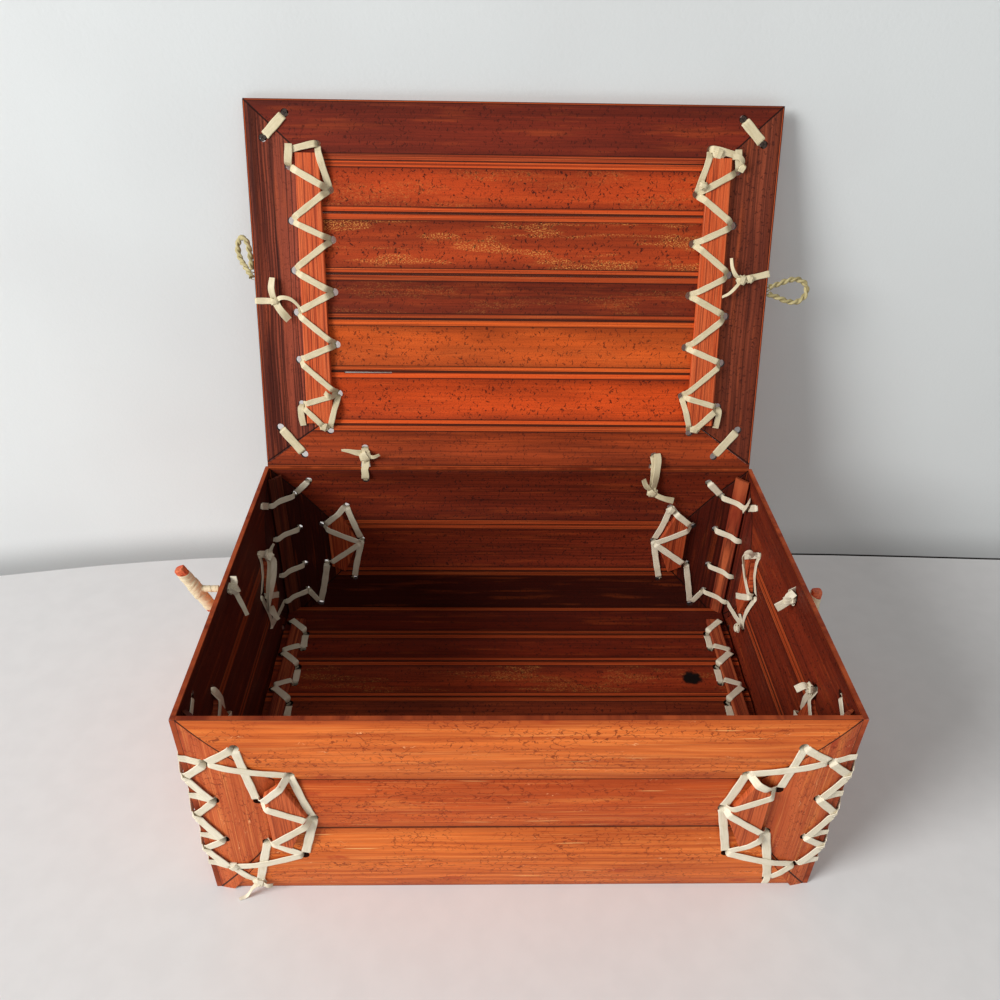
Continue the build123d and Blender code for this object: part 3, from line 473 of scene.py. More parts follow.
def dress_wall(prefix, panel):
    ends = prefix in ("front", "back")
    low, high = (share * H for share in SHARES[prefix])
    half_run = W / 2 - EDGE if ends else D / 2
    frame_of = mitres(half_run, H, low, high, STILE)
    rows = {"bottom_rail": (0, low, SKIN, frame_of["low"]), "slat": (low, high, SKIN_SLAT, None),
            "top_rail": (high, H, SKIN, frame_of["high"])}
    for part, (a, b, skin, mitre) in rows.items():
        inside = LEFT_WALL_IN_SHADED if prefix == "left" else WALL_IN
        # the back wall's bottom rail is darker inside: darker wood, and painted shade over it
        if (prefix, part) == ("back", "bottom_rail"):
            inside = BACK_RAIL_IN_DARK_AND_SHADED
        extra = {"mitre": mitre} if mitre else {}
        dress_board(f"{prefix}_{part}", panel, (0, (a + b) / 2), (b - a) / 2, inside, 0.95, 0.45,
                    new_seed(), skin=skin, **extra)
    reach, k_low, k_high = frame_of["stile"]
    for side in (-1, 1):
        if ends:
            hand = "right" if side * panel.x.x > 0 else "left"
        else:
            hand = "back" if side * panel.x.y > 0 else "front"
        dress_board(f"{prefix}_{hand}_stile", panel, (side * (half_run - STILE / 2), H / 2), STILE / 2,
                    SHADY_STILES.get((prefix, hand), STILE_IN), 0.5, 0.8, new_seed(), upright=True,
                    skin=SKIN_STILE, mitre=(reach, -side, k_low, k_high))


for prefix, panel in WALLS.items():
    dress_wall(prefix, panel)

LID_ROWS = (0, 0.114, 0.272, 0.423, 0.548, 0.712, 0.849, 1)
RAIL_DEPTH, RAIL_INSIDE = LID_ROWS[1] * LID_DEPTH, lin(180, 72, 30)
LID_MITRES = mitres(LID_HALF, LID_DEPTH, RAIL_DEPTH, LID_ROWS[6] * LID_DEPTH, LID_STILE)
# Each row's inside, flecks, streaks and worn specks
LID_LOOKS = {
    "lid_back_rail": (RAIL_INSIDE, 0.6, 0.4, 0),
    "lid_slat_1": (lin(226, 82, 26), 0.9, 0.1, 0),
    "lid_slat_2": (lin(220, 94, 32), 0.8, 0.12, 0.1),
    "lid_slat_3": (lin(138, 48, 20), 0.7, 0.35, 0.15),
    "lid_slat_4": (lin(180, 66, 25), 1.0, 0.2, 0.8),
    "lid_slat_5": (lin(196, 70, 24), 1.0, 0.06, 0.2),
    "lid_front_rail": (lin(126, 41, 22), 0.7, 0.3, 0),
}
RAIL_MITRES = {"lid_back_rail": LID_MITRES["low"], "lid_front_rail": LID_MITRES["high"]}
for (name, (inside, flecks, streaks, worn)), a, b in zip(LID_LOOKS.items(), LID_ROWS, LID_ROWS[1:]):
    a, b = a * LID_DEPTH, b * LID_DEPTH
    extra = {"mitre": RAIL_MITRES[name]} if name in RAIL_MITRES else {}
    dress_board(name, lid, (0, (a + b) / 2), (b - a) / 2, inside, flecks, streaks, new_seed(),
                worn=worn, **extra)
for side, hand, inside, flecks, streaks in ((-1, "left", lin(150, 70, 48), 0.3, 0.95),
                                            (1, "right", lin(136, 64, 40), 0.8, 0.6)):
    reach, k_low, k_high = LID_MITRES["stile"]
    dress_board(f"lid_{hand}_stile", lid, (side * (LID_HALF - LID_STILE / 2), LID_DEPTH / 2),
                LID_STILE / 2, inside, flecks, streaks, new_seed(), upright=True, skin=SKIN_STILE,
                mitre=(reach, -side, k_low, k_high))

DEEPER = 3.3                     # how much deeper the lid's back rail is drawn, down to the rim
TIE_X, NOTCH, FLANK_W = 101, 2.9, 0.4      # the ties' places, half the notch at each, its slanted sides
TOE_X = 166.5                    # outside of this lie the rail's two pointed toes
FOLD, TOE_HIGH, TOE_LOW = 0.05, -0.1, -0.2      # cuts along the hinge edge, up the lid from it


def cut_across(bm, place, normal):
    parts = bm.verts[:] + bm.edges[:] + bm.faces[:]
    bmesh.ops.bisect_plane(bm, geom=parts, plane_co=place * MM, plane_no=normal)


def deepen_back_rail():
    """The lid's back rail as one piece, its hinge edge drawn down to the rim and notched for the ties."""
    mesh = nodes["lid_back_rail"].data.copy()
    bm = bmesh.new()
    bm.from_mesh(mesh)
    for x in (NOTCH, NOTCH + FLANK_W):
        for cut in (-TIE_X - x, -TIE_X + x, TIE_X - x, TIE_X + x):
            cut_across(bm, X * cut, X)
    cut_across(bm, lid.at(0, FOLD), lid.y)
    for v in bm.verts:
        x, y, _ = lid.local(v.co / MM)
        if y < FOLD - 0.02 and abs(abs(x) - TIE_X) > NOTCH + FLANK_W / 2:
            v.co -= lid.y * DEEPER * MM
    # below the stiles' points the rail takes up the lid's whole width
    for y in (TOE_HIGH, TOE_LOW):
        cut_across(bm, lid.at(0, y), lid.y)
    for v in bm.verts:
        x, y, _ = lid.local(v.co / MM)
        if y < (TOE_HIGH + TOE_LOW) / 2 and abs(x) > TOE_X:
            v.co.x = (LID_HALF if x > 0 else -LID_HALF) * MM
    bm.to_mesh(mesh)
    bm.free()
    piece = link("lid_back_rail_board", mesh)
    mesh.materials.clear()
    half = (RAIL_DEPTH + DEEPER) / 2
    reach, turn, slope, _ = LID_MITRES["low"]
    mesh.materials.append(board_material(
        "lid_back_rail_board", lid, (0, half - DEEPER), half, RAIL_INSIDE, 0.6, 0.4, 57.0,
        mitre=(reach + DEEPER / slope, turn, slope, slope)))
    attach(piece, "lid")
    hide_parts("lid_back_rail")


deepen_back_rail()

FLOOR_ROWS = (0, 0.19, 0.39, 0.58, 0.735, 0.862, 1)
FLOOR_DEPTH = D - 2 * EDGE - FLOOR_PLAY - FLOOR_BACK_GAP
FLOOR_TINTS = (lin(152, 60, 32), lin(170, 66, 34), lin(150, 60, 29), lin(164, 60, 29), lin(130, 42, 20),
               lin(104, 32, 16))
SPOTTED, SPOT = 4, Vector((130.5, 148.9, FLOOR_LIFT))


def add_spot(material):
    """A dark, ragged spot in a board's finish."""
    g = Graph(material.node_tree)
    base = next(n for n in g.t.nodes if n.type == "BSDF_PRINCIPLED").inputs["Base Color"]
    place = g.place()
    d = g.vmath("MULTIPLY", g.vmath("SUBTRACT", place, SPOT * MM), (128.0, 150.0, 60.0))
    size = g.add(g.dot(d, d), g.mul(g.noise(place, 330, 2), 0.9))
    g.t.links.new(g.mix(g.step(size, 1.5, 0.9), base.links[0].from_socket, lin(14, 6, 5)), base)


def dress_floor():
    for number, (a, b, inside) in enumerate(zip(FLOOR_ROWS, FLOOR_ROWS[1:], FLOOR_TINTS), start=1):
        name = f"bottom_board_{number}"
        a, b = a * FLOOR_DEPTH, b * FLOOR_DEPTH
        finish = board_material(name, floor, (0, (a + b) / 2), (b - a) / 2, inside, 0.85, 0.35,
                                new_seed(), worn=0.4 if number == SPOTTED else 0.0)
        if number == SPOTTED:
            add_spot(finish)
        dress(name, finish)


dress_floor()


def strip_bamboo(name, grain, across, base, dark, left_painted_shade=0.0):
    """Plain split strips: straight fibres and cut edges, and where asked painted shade over the part left of
    the chest's middle.
    """
    m, g = new_material(name)
    place = g.place()
    u = g.mul(g.dot(place, tuple(grain)), 1000)
    v = g.mul(g.dot(place, tuple(across)), 1000)
    vv = g.add(v, g.mul(g.noise(g.xyz(g.mul(u, 0.02), v), 1, 1), 1.2))
    fine = g.noise(g.xyz(g.mul(u, 0.03), g.mul(vv, 2.4)), 1, 3, 0.65)
    broad = g.noise(g.xyz(g.mul(u, 0.012), g.mul(vv, 0.5)), 1, 3)
    line = g.noise(g.xyz(g.mul(u, 0.006), g.mul(vv, 1.15), 5.0), 1, 2)
    speck = g.noise(g.xyz(g.mul(u, 0.5), g.mul(v, 2.5)), 1, 2)
    c = g.layers(base,
                 (g.step(broad, 0.35, 0.65), g.mix(0.45, base, lin(224, 120, 70)), 1),
                 (g.step(fine, 0.46, 0.68), dark, 0.65),
                 (g.step(line, 0.52, 0.6), dark, 0.7),
                 (g.step(speck, 0.62, 0.72), dark, 0.3))
    # painted shade: strips left of the middle darkened towards a near-black brown
    if left_painted_shade:
        c = g.mix(g.step(g.dot(place, tuple(X)), 0.02, -0.02, 0.0, left_painted_shade), c, lin(34, 12, 8))
    show(g, g.coat(0.2, Base_Color=c, Normal=g.bump(fine, 0.4, 0.0004),
                   Roughness=g.add(g.mul(fine, 0.2), 0.5)))
    return m


STRIPS = {
    "lid_battens": ("lid_batten_strip", lid.y, lid.x, lin(204, 86, 40), lin(112, 32, 14)),
    "bottom_battens": ("floor_batten_strip", Y, X, lin(140, 54, 32), lin(70, 20, 12)),
    # the corner posts' last value is painted shade on the posts left of the middle
    "corner_posts": ("post_strip", Z, (X + Y).normalized(), lin(124, 40, 22), lin(60, 16, 9), 0.7),
    "front_battens": ("front_batten_strip", Z, X, lin(190, 88, 44), lin(134, 50, 22)),
    "back_battens": ("back_batten_strip", Z, X, lin(156, 58, 28), lin(92, 26, 12)),
    "left_battens": ("left_batten_strip", Z, Y, lin(150, 56, 28), lin(84, 24, 12)),
    "right_battens": ("right_batten_strip", Z, Y, lin(170, 66, 32), lin(100, 28, 12)),
}
for node, looks in STRIPS.items():
    dress(node, strip_bamboo(*looks))


def cane_material(name, base, shade, gloss=0.45):
    """Flat cane: fine fibres along each strip, tone from strip to strip, grubby ends, and painted shade,
    nearly black, on the strands crowded in holes.
    """
    m, g = new_material(name)
    grain = g.parts(g.node("ShaderNodeAttribute", attribute_name="grain").outputs["Vector"])
    tone, end, _ = g.parts(g.node("ShaderNodeAttribute", attribute_name="mark").outputs["Vector"])
    shift = g.mul(tone, 37.0)
    fibre = g.noise(g.xyz(g.mul(grain[0], 4.5), g.mul(grain[1], 0.12), shift), 1, 3, 0.6)
    patch = g.noise(g.xyz(g.mul(grain[0], 0.4), g.mul(grain[1], 0.16), shift), 1, 2)
    c = g.layers(base,
                 (g.step(fibre, 0.42, 0.75), g.mix(0.5, base, shade), 1),
                 (g.step(patch, 0.45, 0.75), shade, 0.35),
                 (tone, shade, 0.22),
                 (end, lin(122, 104, 76), 0.6),
                 # painted shade: strands in a hole (end marks over 1.2) go nearly black
                 (g.step(end, 1.2, 2.4), lin(44, 28, 18), 1))
    show(g, g.coat(0.35, Base_Color=c, Normal=g.bump(fibre, 0.3, 0.0002),
                   Roughness=g.add(g.mul(fibre, 0.2), gloss)))
    return m


def core_material():
    """The pegs' split sticks."""
    m, g = new_material("peg_core")
    place = g.place()
    grit = g.noise(place, 900, 3)
    broad = g.noise(place, 260, 2)
    c = g.mix(g.step(broad, 0.35, 0.65), lin(196, 70, 34), lin(214, 106, 60))
    c = g.mix(g.mul(g.step(grit, 0.5, 0.7), 0.6), c, lin(110, 30, 16))
    show(g, g.coat(0.5, Base_Color=c, Roughness=g.step(grit, 0.2, 0.8, 0.45, 0.7),
                   Normal=g.bump(grit, 0.5, 0.0004)))
    return m


CANE = cane_material("cane_pale", lin(228, 220, 200), lin(196, 182, 148))
CANE_LID = cane_material("cane_lid", lin(216, 204, 172), lin(180, 164, 122))
CANE_CORD = cane_material("cane_cord", lin(184, 172, 126), lin(112, 98, 60), 0.5)
CANE_WRAP = cane_material("cane_wrap", lin(226, 214, 184), lin(184, 168, 124))
CORE = core_material()


# Strips of cane
STRIP_SECTION = ((-0.5, 0), (-0.475, 0.75), (-0.44, 1.0), (-0.37, 1.02), (-0.12, 0.92), (0.12, 0.92),
                 (0.37, 1.02), (0.44, 1.0), (0.475, 0.75), (0.5, 0), (0.46, -0.9), (0, -0.95), (-0.46, -0.9))
WIND_SECTION = ((-0.5, 0), (-0.42, 0.75), (0, 1.0), (0.42, 0.75), (0.5, 0), (0.42, -0.8), (-0.42, -0.8))
FADE = 2.8       # how far from its end a strip narrows and folds
GRIME_AND_SHADE_RUN = 3.0     # how far from its end a strip is stained, and a strand in a hole painted dark as shade


def circle(radius, count):
    return [(radius * cos(tau * k / count), radius * sin(tau * k / count)) for k in range(count)]


def ease(t):
    return t * t * (3 - 2 * t)


def tangent(path, i):
    return (path[min(i + 1, len(path) - 1)] - path[max(i - 1, 0)]).normalized()


class Weave:
    """Gathers strips and cords into one mesh."""

    def __init__(self, seed):
        self.verts, self.faces, self.grain, self.mark = [], [], [], []
        self.rng = Random(seed)

    def tube(self, path, frames, section, grain_x, ends=(0.0, 0.0)):
        """Sweeps section(i, run, total) -> [(side, up)] along path; frames are (lateral, normal) pairs."""
        tone = self.rng.random()
        start, run, count = len(self.verts), 0.0, 0
        total = sum((b - a).length for a, b in zip(path[:-1], path[1:]))
        offset = self.rng.uniform(0, 300)
        for i, (p, (lateral, normal)) in enumerate(zip(path, frames)):
            if i:
                run += (p - path[i - 1]).length
            ring = section(i, run, total)
            count = len(ring)
            near = max(ends[0] * max(0, 1 - run / GRIME_AND_SHADE_RUN), ends[1] * max(0, 1 - (total - run) / GRIME_AND_SHADE_RUN))
            for k, (a, b) in enumerate(ring):
                self.verts.append((p + lateral * a + normal * b) * MM)
                self.grain.append((grain_x(k, a), run + offset, 0))
                self.mark.append((tone, near, 0))
        for i in range(len(path) - 1):
            for k in range(count):
                a, b = start + i * count + k, start + i * count + (k + 1) % count
                self.faces.append((a, b, b + count, a + count))
        last = start + (len(path) - 1) * count
        self.faces.append(tuple(start + k for k in reversed(range(count))))
        self.faces.append(tuple(last + k for k in range(count)))

    def strip(self, path, laterals, width=CANE_W, thick=CANE_T, pinch=(1, 1), cup=(0, 0),
              ends=(0.8, 0.8), up=None, grow=None):
        """A flat strip; pinch narrows it and cup folds it at the start and the end."""
        frames = []
        for i, side in enumerate(laterals):
            t = tangent(path, i)
            side = (side - t * side.dot(t)).normalized()
            frames.append((side, side.cross(t)))
        if up is not None and frames[len(frames) // 2][1].dot(up) < 0:
            frames = [(side, -normal) for side, normal in frames]
        wave, turn = self.rng.uniform(0, tau), self.rng.uniform(0.9, 1.05)

        def section(_, run, total):
            first, last = ease(max(0, 1 - run / FADE)), ease(max(0, 1 - (total - run) / FADE))
            w = width * turn * (1 - (1 - pinch[0]) * first) * (1 - (1 - pinch[1]) * last)
            w *= 1 + 0.04 * sin(run * 0.5 + wave)
            if grow:
                w *= grow(run / max(total, 1e-6))
            fold = cup[0] * first + cup[1] * last
            return [(x * w, z * thick / 2 - fold * 4 * x * x) for x, z in STRIP_SECTION]

        self.tube(path, frames, section, lambda k, a: a, ends)

    def finish(self, name, material, node_slot="cane"):
        mesh = bpy.data.meshes.new(name)
        mesh.from_pydata([tuple(v) for v in self.verts], [], self.faces)
        for key, data in (("grain", self.grain), ("mark", self.mark)):
            attribute = mesh.attributes.new(key, "FLOAT_VECTOR", "POINT")
            attribute.data.foreach_set("vector", [c for v in data for c in v])
        mesh.update()
        mesh.shade_smooth()
        mesh.set_sharp_from_angle(angle=radians(38))
        mesh.materials.append(material)
        obj = link(name, mesh)
        return obj


def catmull(points, steps=6):
    """A smooth line through the points."""
    ext = [points[0] * 2 - points[1]] + list(points) + [points[-1] * 2 - points[-2]]
    line = []
    for p0, p1, p2, p3 in zip(ext[:-3], ext[1:-2], ext[2:-1], ext[3:]):
        for k in range(steps):
            t = k / steps
            line.append(0.5 * ((2 * p1) + (p2 - p0) * t + (2 * p0 - 5 * p1 + 4 * p2 - p3) * t * t
                               + (3 * p1 - p0 - 3 * p2 + p3) * t ** 3))
    line.append(points[-1])
    return line


def hull(points):
    """Upper convex hull of (t, h) points: a taut line over bumps."""
    top = []
    for p in points:
        while len(top) > 1:
            (x0, y0), (x1, y1) = top[-2], top[-1]
            if (x1 - x0) * (p[1] - y0) - (y1 - y0) * (p[0] - x0) < 0:
                break
            top.pop()
        top.append(p)
    return top


def level_on(line, t):
    for (x0, y0), (x1, y1) in zip(line[:-1], line[1:]):
        if x0 <= t <= x1:
            return y0 + (y1 - y0) * (t - x0) / max(x1 - x0, 1e-9)
    return line[0][1] if t < line[0][0] else line[-1][1]


HOLE_EDGE = HOLE + 0.15
AIR, FLANK = 0.06, 1.6            # a strip's gap to the boards, and how far off its middle they are felt
FEEL_STEP, PATH_STEP = 1.1, 1.6
DIP = ((1.35, 3.0), (1.2, 1.7), (0.75, 0.7))      # how a strip goes down into a hole: inward, down


def taut(panel, side, a, b, holes=(True, True), lift=0.0, sway=0.0):
    """Path of a strip pulled over the panel from a to b, dipping into the holes at its ends."""
    length = hypot(b[0] - a[0], b[1] - a[1])
    ux, uy = (b[0] - a[0]) / length, (b[1] - a[1]) / length
    near = HOLE_EDGE if holes[0] else 0.0
    far = length - (HOLE_EDGE if holes[1] else 0.0)
    count = max(8, int((far - near) / FEEL_STEP))
    samples = []
    for k in range(count + 1):
        t = near + (far - near) * k / count
        tops = [panel.height(side, a[0] + ux * t - uy * o, a[1] + uy * t + ux * o)
                for o in (-FLANK, 0, FLANK)]
        tops = [h for h in tops if h is not None]
        if tops:
            samples.append((t, max(tops)))
    top = hull(samples)

    def place(t, h):
        bow = sin(pi * min(max((t - near) / max(far - near, 1e-6), 0), 1))
        s = sway * bow
        up = h + CANE_T / 2 + AIR + lift * bow
        return panel.at(a[0] + ux * t - uy * s, a[1] + uy * t + ux * s, side * up)

    path = []
    if holes[0]:
        path += [place(near - back, level_on(top, near) - down) for back, down in DIP]
    steps = max(6, int((far - near) / PATH_STEP))
    stops = [near + (far - near) * k / steps for k in range(steps + 1)]
    path += [place(t, level_on(top, t)) for t in stops]
    if holes[1]:
        path += [place(far + on, level_on(top, far) - down) for on, down in reversed(DIP)]
    return catmull(path, 2), panel.x * -uy + panel.y * ux


def run(weave, panel, side, a, b, width=CANE_W, **how):
    """A strip pulled over the panel from one hole to another."""
    path, lateral = taut(panel, side, a, b, **how)
    weave.strip(path, [lateral] * len(path), width=width, pinch=(0.7, 0.7), cup=(0.45, 0.45),
                up=panel.z * side)


def ribbon(weave, points, lateral, turns=0.0, width=CANE_W, ends=(0.2, 0.1), steps=6, **how):
    """A free piece of cane through points; its lateral turns by turns radians on the way."""
    path = catmull([Vector(p) for p in points], steps)
    laterals = []
    for i in range(len(path)):
        t = tangent(path, i)
        side = (lateral - t * lateral.dot(t)).normalized()
        angle = turns * i / (len(path) - 1)
        laterals.append(side * cos(angle) + side.cross(t) * sin(angle))
    weave.strip(path, laterals, width=width, ends=ends, **how)


def knot(weave, at, along, normal, size, width):
    """A pulled-tight knot of flat cane: folded turns lying over each other."""
    across = normal.cross(along)
    for turn, lift, span, share in ((0.35, 0.25, 1.0, 1.0), (-0.95, 1.0, 0.95, 0.9), (1.15, 1.6, 0.8, 0.8)):
        turn += weave.rng.uniform(-0.25, 0.25)
        d = along * cos(turn) + across * sin(turn)
        half = size * span / 2
        points = [at + d * half * reach + normal * (up + rise * lift)
                  for reach, up, rise in ((-0.8, -0.3, 0), (-1, 0.3, 1), (-0.45, 0.95, 1),
                                          (0.45, 0.95, 1), (1, 0.3, 1), (0.8, -0.3, 0))]
        ribbon(weave, points, across * cos(turn) - along * sin(turn), width=width * share, steps=2)


def stuff(weave, panel, x, y, low=-0.3, high=1.9):
    """Three strands crowded in a hole, between the board's faces, painted nearly black as the hole's shade.
    """
    lean = weave.rng.uniform(0, tau)
    for k in range(3):
        dx, dy = 1.2 * cos(lean + tau * k / 3), 1.2 * sin(lean + tau * k / 3)
        ends = [panel.at(x + dx, y + dy, low),
                panel.at(x - dy * 0.5 + dx * 0.7, y + dx * 0.5 + dy * 0.7, high)]
        weave.tube(ends, [(panel.x, panel.y)] * 2, lambda i, run, total: circle(1.25, 10),
                   lambda n, a: a, (3, 3))


def taper(start, end, power=1.0):
    return lambda t: start + (end - start) * t ** power


def beside(at, *steps):
    """Points at the given steps from at."""
    return [at + Vector(step) for step in steps]


# Hole places, as in the CAD: shares of a stile's width from the corner and of the wall's height
HOLES = {
    "rail_high": (0.69, 0.873), "corner_1": (0.3, 0.789), "rail_low": (1.27, 0.716),
    "stile_high": (0.83, 0.604), "slat": (1.48, 0.504), "stile_low": (0.83, 0.351),
    "foot_high": (1.29, 0.249), "corner_4": (0.3, 0.161), "foot_low": (0.62, 0.061),
    "corner_2": (0.3, 0.58), "corner_3": (0.3, 0.341),
}
SIDE_RISE = 0.03
CORNERS = {"front_left": Vector((-W / 2, 0, 0)), "front_right": Vector((W / 2, 0, 0)),
           "back_left": Vector((-W / 2, D, 0)), "back_right": Vector((W / 2, D, 0))}
# The front or back wall at each corner, how its holes rise and lean, and how far in its corner holes are
END = {"front_left": (front, 0, -0.028, None), "front_right": (front, 0, 0.028, None),
       "back_left": (back, 0.05, 0, 0.42), "back_right": (back, 0.05, 0, 0.42)}
SIDE = {"front_left": left, "front_right": right, "back_left": left, "back_right": right}
# Runs of lace outside, with 1 where a run lies over the others, and inside
OUTER = (("corner_1", "rail_high", 0), ("rail_high", "stile_high", 0), ("corner_1", "rail_low", 1),
         ("rail_low", "stile_high", 0), ("rail_low", "slat", 0), ("stile_high", "slat", 0),
         ("slat", "stile_low", 0), ("slat", "foot_high", 0), ("stile_low", "foot_high", 0),
         ("stile_low", "foot_low", 0), ("foot_high", "corner_4", 1), ("corner_4", "foot_low", 0))
INNER = (("rail_low", "stile_high"), ("rail_low", "slat"), ("stile_high", "slat"),
         ("slat", "stile_low"), ("slat", "foot_high"), ("stile_low", "foot_high"))
INNER_BACK = INNER[:5] + (("stile_low", "foot_low"),)
ORDER = ("corner_1", "corner_2", "corner_3", "corner_4")
TURN_ROOM = 0.9      # a strip's two halves stop this far short of the corner's edge
POST_SINK, POST_RISE, POST_REACH, POST_BEND = 0.4, 1.7, 6.2, 1.2


def wall_holes(panel, corner, rise, skew=0.0, inset=None):
    across = panel.local(corner)[0]
    side, reach = (1, across) if across > 0 else (-1, -across)
    places = {}
    for name, (x, y) in HOLES.items():
        if inset and name.startswith("corner"):
            x = inset
        if name in ("stile_high", "slat", "stile_low"):
            y += skew
        places[name] = (side * (reach - x * STILE), (y + rise) * H)
    return places


def corner_wrap(weave, panel_a, a, panel_b, b, corner, lift=0.0):
    """A strip from a hole round the chest's corner edge to a hole in the next wall."""
    xa, xb = panel_a.local(corner)[0], panel_b.local(corner)[0]
    run_a, run_b = abs(xa - a[0]), abs(xb - b[0])
    slope = (b[1] - a[1]) / (run_a + run_b)
    edge_z = a[1] + slope * run_a
    first, _ = taut(panel_a, -1, a, (xa, edge_z), holes=(True, False))
    last, _ = taut(panel_b, -1, (xb, edge_z), b, holes=(False, True))
    first = [p for p in first if abs(panel_a.local(p)[0] - xa) > TURN_ROOM]
    last = [p for p in reversed(last) if abs(panel_b.local(p)[0] - xb) > TURN_ROOM]
    first = [p - panel_a.z * lift * min(1, k / 6) for k, p in enumerate(first)]
    last = [p - panel_b.z * lift * min(1, k / 6) for k, p in enumerate(last)]
    turn = corner - (panel_a.z + panel_b.z).normalized() * (CANE_T * 0.75 + 0.25 + lift)
    turn.z = edge_z
    path = first + [turn] + last[::-1]
    toward_a = panel_a.x * (1 if xa > a[0] else -1)
    toward_b = panel_b.x * (1 if b[0] > xb else -1)
    laterals = []
    for k in range(len(path)):
        t = min(max((k - len(first) + 2) / 4, 0), 1)
        flat = (toward_a * (1 - t) + toward_b * t).normalized()
        laterals.append((Z - flat * slope).normalized())
    weave.strip(path, laterals, pinch=(0.62, 0.62), cup=(0.45, 0.45))


def post_strap(weave, panel_a, a, panel_b, b):
    """A strip over the corner post between two corner holes, inside the chest."""
    pa, pb = panel_a.at(*a, EDGE - POST_SINK), panel_b.at(*b, EDGE - POST_SINK)
    na, nb = panel_a.z, panel_b.z
    mid = Vector((pa.x * abs(na.x) + pb.x * abs(nb.x), pa.y * abs(na.y) + pb.y * abs(nb.y), 0))
    mid += (na + nb) * POST_REACH
    mid.z = (a[1] + b[1]) / 2
    qa, qb = pa + na * POST_RISE, pb + nb * POST_RISE
    qa += (mid - qa).normalized() * POST_BEND
    qb += (mid - qb).normalized() * POST_BEND
    path = catmull([pa - na * 2, pa, qa, mid, qb, pb, pb - nb * 2], 5)
    weave.strip(path, [Z] * len(path), pinch=(0.6, 0.6), cup=(0.3, 0.3))


def jitter(weave, place, amount=0.25):
    return (place[0] + weave.rng.uniform(-amount, amount), place[1] + weave.rng.uniform(-amount, amount))


def lace_corner(weave, corner, panel, ends, side_panel, sides):
    for where, holes in ((panel, ends), (side_panel, sides)):
        for a, b, over in OUTER:
            run(weave, where, -1, jitter(weave, holes[a]), jitter(weave, holes[b]),
                lift=0.65 * over + weave.rng.uniform(0.05, 0.3))
        for a, b in INNER_BACK if where is back else INNER:
            run(weave, where, 1, jitter(weave, holes[a]), jitter(weave, holes[b]),
                lift=weave.rng.uniform(0.1, 0.5), sway=weave.rng.uniform(-0.7, 0.7))
        run(weave, where, 1, holes["corner_1"], holes["rail_high"])
        run(weave, where, 1, holes["corner_4"], holes["foot_low" if where is back else "foot_high"])
    for k, name in enumerate(ORDER):
        corner_wrap(weave, panel, ends[name], side_panel, sides[name], corner)
        post_strap(weave, panel, ends[name], side_panel, sides[name])
        if k < 3:
            below = ORDER[k + 1]
            corner_wrap(weave, panel, ends[name], side_panel, sides[below], corner, 0.5)
            corner_wrap(weave, panel, ends[below], side_panel, sides[name], corner, 1.0)


def tie_front_left(weave, ends, _):
    """A knot with two tails outside, low on the front wall, and a folded end beside it."""
    foot, heel = ends["foot_low"], ends["corner_4"]
    at = front.at(foot[0], foot[1] + 0.4, -2.2)
    knot(weave, at, front.x, -front.z, 7.0, 4.4)
    tail = beside(at, (0, -1.6, 0), (-3.4, -3.0, -1.6))
    ribbon(weave, tail + [Vector((at.x - 7.2, -6.6, 1.6)), Vector((at.x - 11.5, -8.4, 0.8))], Y,
           turns=0.5, width=3.4, grow=taper(1.1, 0.55))
    ribbon(weave, beside(at, (1.5, -1.4, 0), (4.4, -2.8, -0.6), (7.2, -2.0, -1.6)), Z, width=4.0,
           ends=(0.3, 1.0), grow=taper(1.0, 0.8))
    knot(weave, front.at(heel[0] - 1.2, heel[1] + 0.8, -1.4), (front.x + front.y * 0.5).normalized(),
         -front.z, 6.2, 4.2)


def tie_front_right(weave, ends, sides):
    """A folded end outside, low on the front wall, and a knot inside the right one."""
    ribbon(weave, front.trail(ends["foot_low"], 1, (0, 4, -2.6), (0.3, 0, -3.2), (0.8, -3.4, -3.0)),
           front.x, width=4.0)
    at = right.at(*sides["rail_low"], 4.4)
    knot(weave, at, Z, right.z, 6.6, 4.2)
    ribbon(weave, beside(at, (0, 0, 0), (-4, 0, 2.4), (-8.5, 0, -0.6)), Y, turns=0.5, width=4.2)


def tie_back_left(weave, _, sides):
    """A big knot inside the left wall, a tail up and two long folded ones down to a last loop."""
    top, low = sides["rail_low"], sides["slat"]
    at, end = left.at(top[0], top[1] - 1, 6.6), left.at(low[0], low[1] - 9, 5.0)
    knot(weave, at, Z, left.z, 7.2, 4.6)
    knot(weave, at + X * 2.2 + Z * 0.6, (Z + Y).normalized(), -Y, 6.4, 4.4)
    ribbon(weave, beside(at, (1.5, 0, 0), (3.2, 0, 4.5), (6.0, 0, 9.5)), X, turns=0.4, width=3.4,
           grow=taper(1.0, 0.5))
    ribbon(weave, beside(at, (1.4, 0, 0), (4.0, 0, -6))
           + [at.lerp(end, 0.5) + X * 3.4, at.lerp(end, 0.8) + X * 1.0, end], X, turns=1.3, width=4.4)
    ribbon(weave, beside(at, (-0.4, 0, 0), (1.2, 0, -8))
           + [at.lerp(end, 0.6) + X * 0.4 - Y * 2, end - Y * 3 - Z * 2], X, turns=-1.0, width=4.0)
    ribbon(weave, beside(end, (0.5, 0, 0), (2.0, 0, -5), (5.0, 0, -12)), (X - Z * 0.4).normalized(),
           turns=0.6, width=6.0, grow=taper(1.0, 0.45))


